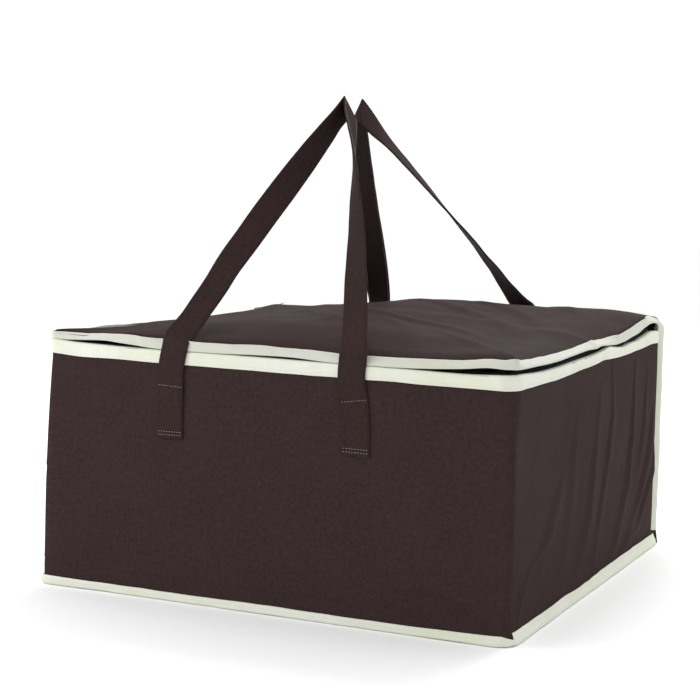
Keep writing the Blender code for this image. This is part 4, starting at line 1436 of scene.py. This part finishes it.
# %% Straps
def strap_piece(name, facing, *form):
    """One handle, from its left foot over the fold to its right foot."""
    surface, length, middle = strap_surface_of(facing, *form)
    coarse = np.arange(0, length, 2.2 * mm)
    fine = np.arange(middle - 7 * mm, middle + 7 * mm, 0.5 * mm)
    stations = np.unique(np.concatenate((coarse, fine, [length])))
    piece, along, wide = cut(name, len(stations) - 1, 26)
    along = stations[np.rint(along * (len(stations) - 1)).astype(int)]
    across = (wide - 0.5) * (strap_width + 1.0 * mm)
    lay(piece, surface(along, across, 0), along, across)
    group = piece.vertex_groups.new(name="gauge")
    edge = smooth((strap_width / 2 + 0.5 * mm - np.abs(across)) / (1.4 * mm))
    for index, value in enumerate(0.45 + 0.55 * edge):
        group.add([index], float(value), "REPLACE")
    apply(piece, "SOLIDIFY", thickness=strap_gauge - 0.4 * mm, offset=0.0, vertex_group="gauge")
    outward(piece)
    return piece, surface, length


side_names = {-1: "front", 1: "back"}
strap_surfaces = {}
front_sways = (
    ((100, 1.5), (200, 1.5), (218, 2.5), (235, 6), (255, 8), (271, 7), (288, 5.5), (308, 2.5),
     (332, 1.5), (350, 0.5), (375, 0), (470, 0)),
    ((100, 0), (190, 0), (220, -3.5), (240, -2), (270, 0.5), (300, 1.5), (330, 3), (365, 2.7),
     (400, 2.6), (430, 1), (450, 0), (470, 0)),
)
back_sways = (
    ((100, 0), (220, 0), (250, 1.5), (310, 1.5), (350, 0), (470, 0)),
    ((100, 0), (180, 0), (225, -5), (254, -8), (271, -6.5), (292, -3.6), (305, -2.4),
     (320, -0.6), (345, 0), (470, 0)),
)
strap_forms = (
    (-1, 1, 1.9, 241 * mm, Vector((-26.8, 18.4, 456.6)) * mm, Vector((-27.6, -26.0, 467.3)) * mm,
     4.5 * mm, 30 * mm, front_sways),
    (1, -1, 0.45, 246 * mm, Vector((-29.2, 12.9, 454.5)) * mm, Vector((-28.9, 20.0, 466.3)) * mm,
     4.5 * mm, 55 * mm, back_sways),
)
for facing, *form in strap_forms:
    word = side_names[facing]
    piece, surface, length = strap_piece(f"{word}_strap", facing, *form)
    strap_surfaces[facing] = (surface, length)
    nodes = [f"{word}_handle_end_left", f"{word}_handle_end_right", f"{word}_handle_loop"]
    dress(piece, brown_strap, nodes)
    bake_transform(piece)

# %% [markdown]
# ## Stitches
#
# One stitch is a grain of thread. It is modelled once and copied along each seam, so a
# seam is one piece whose stitches follow the surface that they hold.

# %% One stitch, and rows of it
deselect()
bpy.ops.mesh.primitive_uv_sphere_add(segments=6, ring_count=4, radius=0.5)
grain = bpy.context.object
grain_points = np.array([v.co for v in grain.data.vertices])[:, [2, 0, 1]]
grain_faces = [list(face.vertices) for face in grain.data.polygons]
bpy.data.objects.remove(grain)


def sew(name, surface, rows, length, gauge, lift):
    """Copies of the stitch on a surface, for rows of (along, across, side) arrays."""
    along, across, side = (np.concatenate(part) for part in zip(*rows))
    step = 0.5 * mm
    here = surface(along, across, side * lift)
    ahead = surface(along + step, across, side * lift) - surface(along - step, across, side * lift)
    outer = surface(along, across, side * (lift + step)) - here
    ahead /= np.linalg.norm(ahead, axis=1)[:, None]
    outer /= np.linalg.norm(outer, axis=1)[:, None]
    aside = np.cross(outer, ahead)
    points = (
        here[:, None]
        + ahead[:, None] * (grain_points[None, :, :1] * length)
        + aside[:, None] * (grain_points[None, :, 1:2] * gauge)
        + outer[:, None] * (grain_points[None, :, 2:] * gauge)
    )
    count = len(grain_points)
    faces = [
        [vertex + number * count for vertex in face]
        for number in range(len(here))
        for face in grain_faces
    ]
    mesh = bpy.data.meshes.new(name)
    mesh.from_pydata(points.reshape(-1, 3).tolist(), [], faces)
    mesh.uv_layers.new(name="UVMap")
    piece = bpy.data.objects.new(name, mesh)
    bpy.context.scene.collection.objects.link(piece)
    outward(piece)
    return piece


def row_of(reach_low, reach_high, across, side, pitch=stitch_pitch):
    """One straight row of stitches."""
    along = np.arange(reach_low, reach_high, pitch)
    return along, np.full_like(along, across), np.full_like(along, side)


strap_pitch = 2.9 * mm
strap_seam = strap_width / 2 - 1.4 * mm
for facing in (-1, 1):
    surface, length = strap_surfaces[facing]
    word = side_names[facing]
    ends = []
    for across in np.linspace(-strap_seam, strap_seam, 9):
        for foot in (3.5 * mm, 6.5 * mm, strap_row - strap_foot - 1.5 * mm):
            for along in (foot, length - foot):
                ends.append((np.array([along]), np.array([across]), np.array([1.0])))
    for tone, side, thread in (("outer", 1, dark_thread), ("inner", -1, pale_thread)):
        rows = [
            row_of(2 * mm, length - 2 * mm, across * strap_seam, side, strap_pitch)
            for across in (-1, 1)
        ]
        lift = strap_gauge / 2 - 0.16 * mm
        piece = sew(f"{word}_strap_{tone}_thread", surface, rows, 2.1 * mm, 0.55 * mm, lift)
        dress(piece, thread)
        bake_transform(piece)
    lift = strap_gauge / 2 - 0.1 * mm
    piece = sew(f"{word}_strap_anchor_thread", surface, ends, 0.6 * mm, 2.0 * mm, lift)
    dress(piece, pale_thread, (), "bag_body")

for name, surface, row, reach, body, lift in (
    ("rim_stitches", rim_surface, rim_stitch, wall_end - 8 * mm, "bag_body", 0.3 * mm),
    ("base_stitches", base_surface, base_stitch, base_reach - 2 * mm, "bag_body", 0.3 * mm),
    ("lid_stitches", lid_tape_surface, lid_stitch, lid_tape_reach - 2 * mm, "lid", 0.3 * mm),
):
    piece = sew(name, surface, [row_of(-reach, reach, row, 1)], 2.4 * mm, 0.35 * mm, lift)
    dress(piece, cream_thread, (), body)

# %% [markdown]
# ## Floor, light and camera
#
# The camera stands where the photograph's did, worked out from the corners of the bag:
# its place and its three directions are in the bag's own frame. The light is soft and
# comes from all round, a little stronger from above and behind, which lifts the lid.

# %% Camera
camera_place = Vector((0.6965, -1.5670, 0.4026))
camera_right = Vector((0.9066, 0.4216, 0.0195))
camera_down = Vector((0.0632, -0.0899, -0.9939))
picture_side = 700
focal_pixels = 1719.5

camera = bpy.data.objects.new("camera", bpy.data.cameras.new("camera"))
bpy.context.scene.collection.objects.link(camera)
camera.data.sensor_width = 36
camera.data.lens = focal_pixels / picture_side * camera.data.sensor_width
right = camera_right.normalized()
up = (-camera_down - right * right.dot(-camera_down)).normalized()
back = right.cross(up)
matrix = camera.matrix_world.to_3x3()
for row in range(3):
    matrix[row] = (right[row], up[row], back[row])
camera.matrix_world = matrix.to_4x4()
camera.location = camera_place
bpy.context.scene.camera = camera

# %% Floor and light
deselect()
bpy.ops.mesh.primitive_plane_add(size=14, location=(0, 0, -0.2 * mm))
floor = bpy.context.object
floor.name = "floor"
floor.data.materials.append(new_finish("floor", (0.97, 0.97, 0.97), 0.8, specular=0.1)[0])
floor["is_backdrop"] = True

world = bpy.data.worlds.new("studio")
bpy.context.scene.world = world
world.use_nodes = True
world.node_tree.nodes["Background"].inputs["Color"].default_value = (1, 1, 1, 1)
world.node_tree.nodes["Background"].inputs["Strength"].default_value = 1.04


def soft_light(name, place, size, watts):
    """A large soft lamp that looks at the middle of the bag."""
    lamp = bpy.data.objects.new(name, bpy.data.lights.new(name, "AREA"))
    bpy.context.scene.collection.objects.link(lamp)
    lamp.data.size = size
    lamp.data.energy = watts
    lamp.location = place
    lamp.rotation_mode = "QUATERNION"
    lamp.rotation_quaternion = (Vector((0, 0, 0.15)) - Vector(place)).to_track_quat("-Z", "Y")


soft_light("key", (-1.0, -0.8, 0.5), 0.8, 6)
soft_light("over", (0.1, 1.3, 1.6), 1.4, 25)
bpy.context.scene.view_settings.view_transform = "Standard"

# %% Print the visual box and finish
low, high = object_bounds()
print("visual box", [round(v, 4) for v in low], [round(v, 4) for v in high])
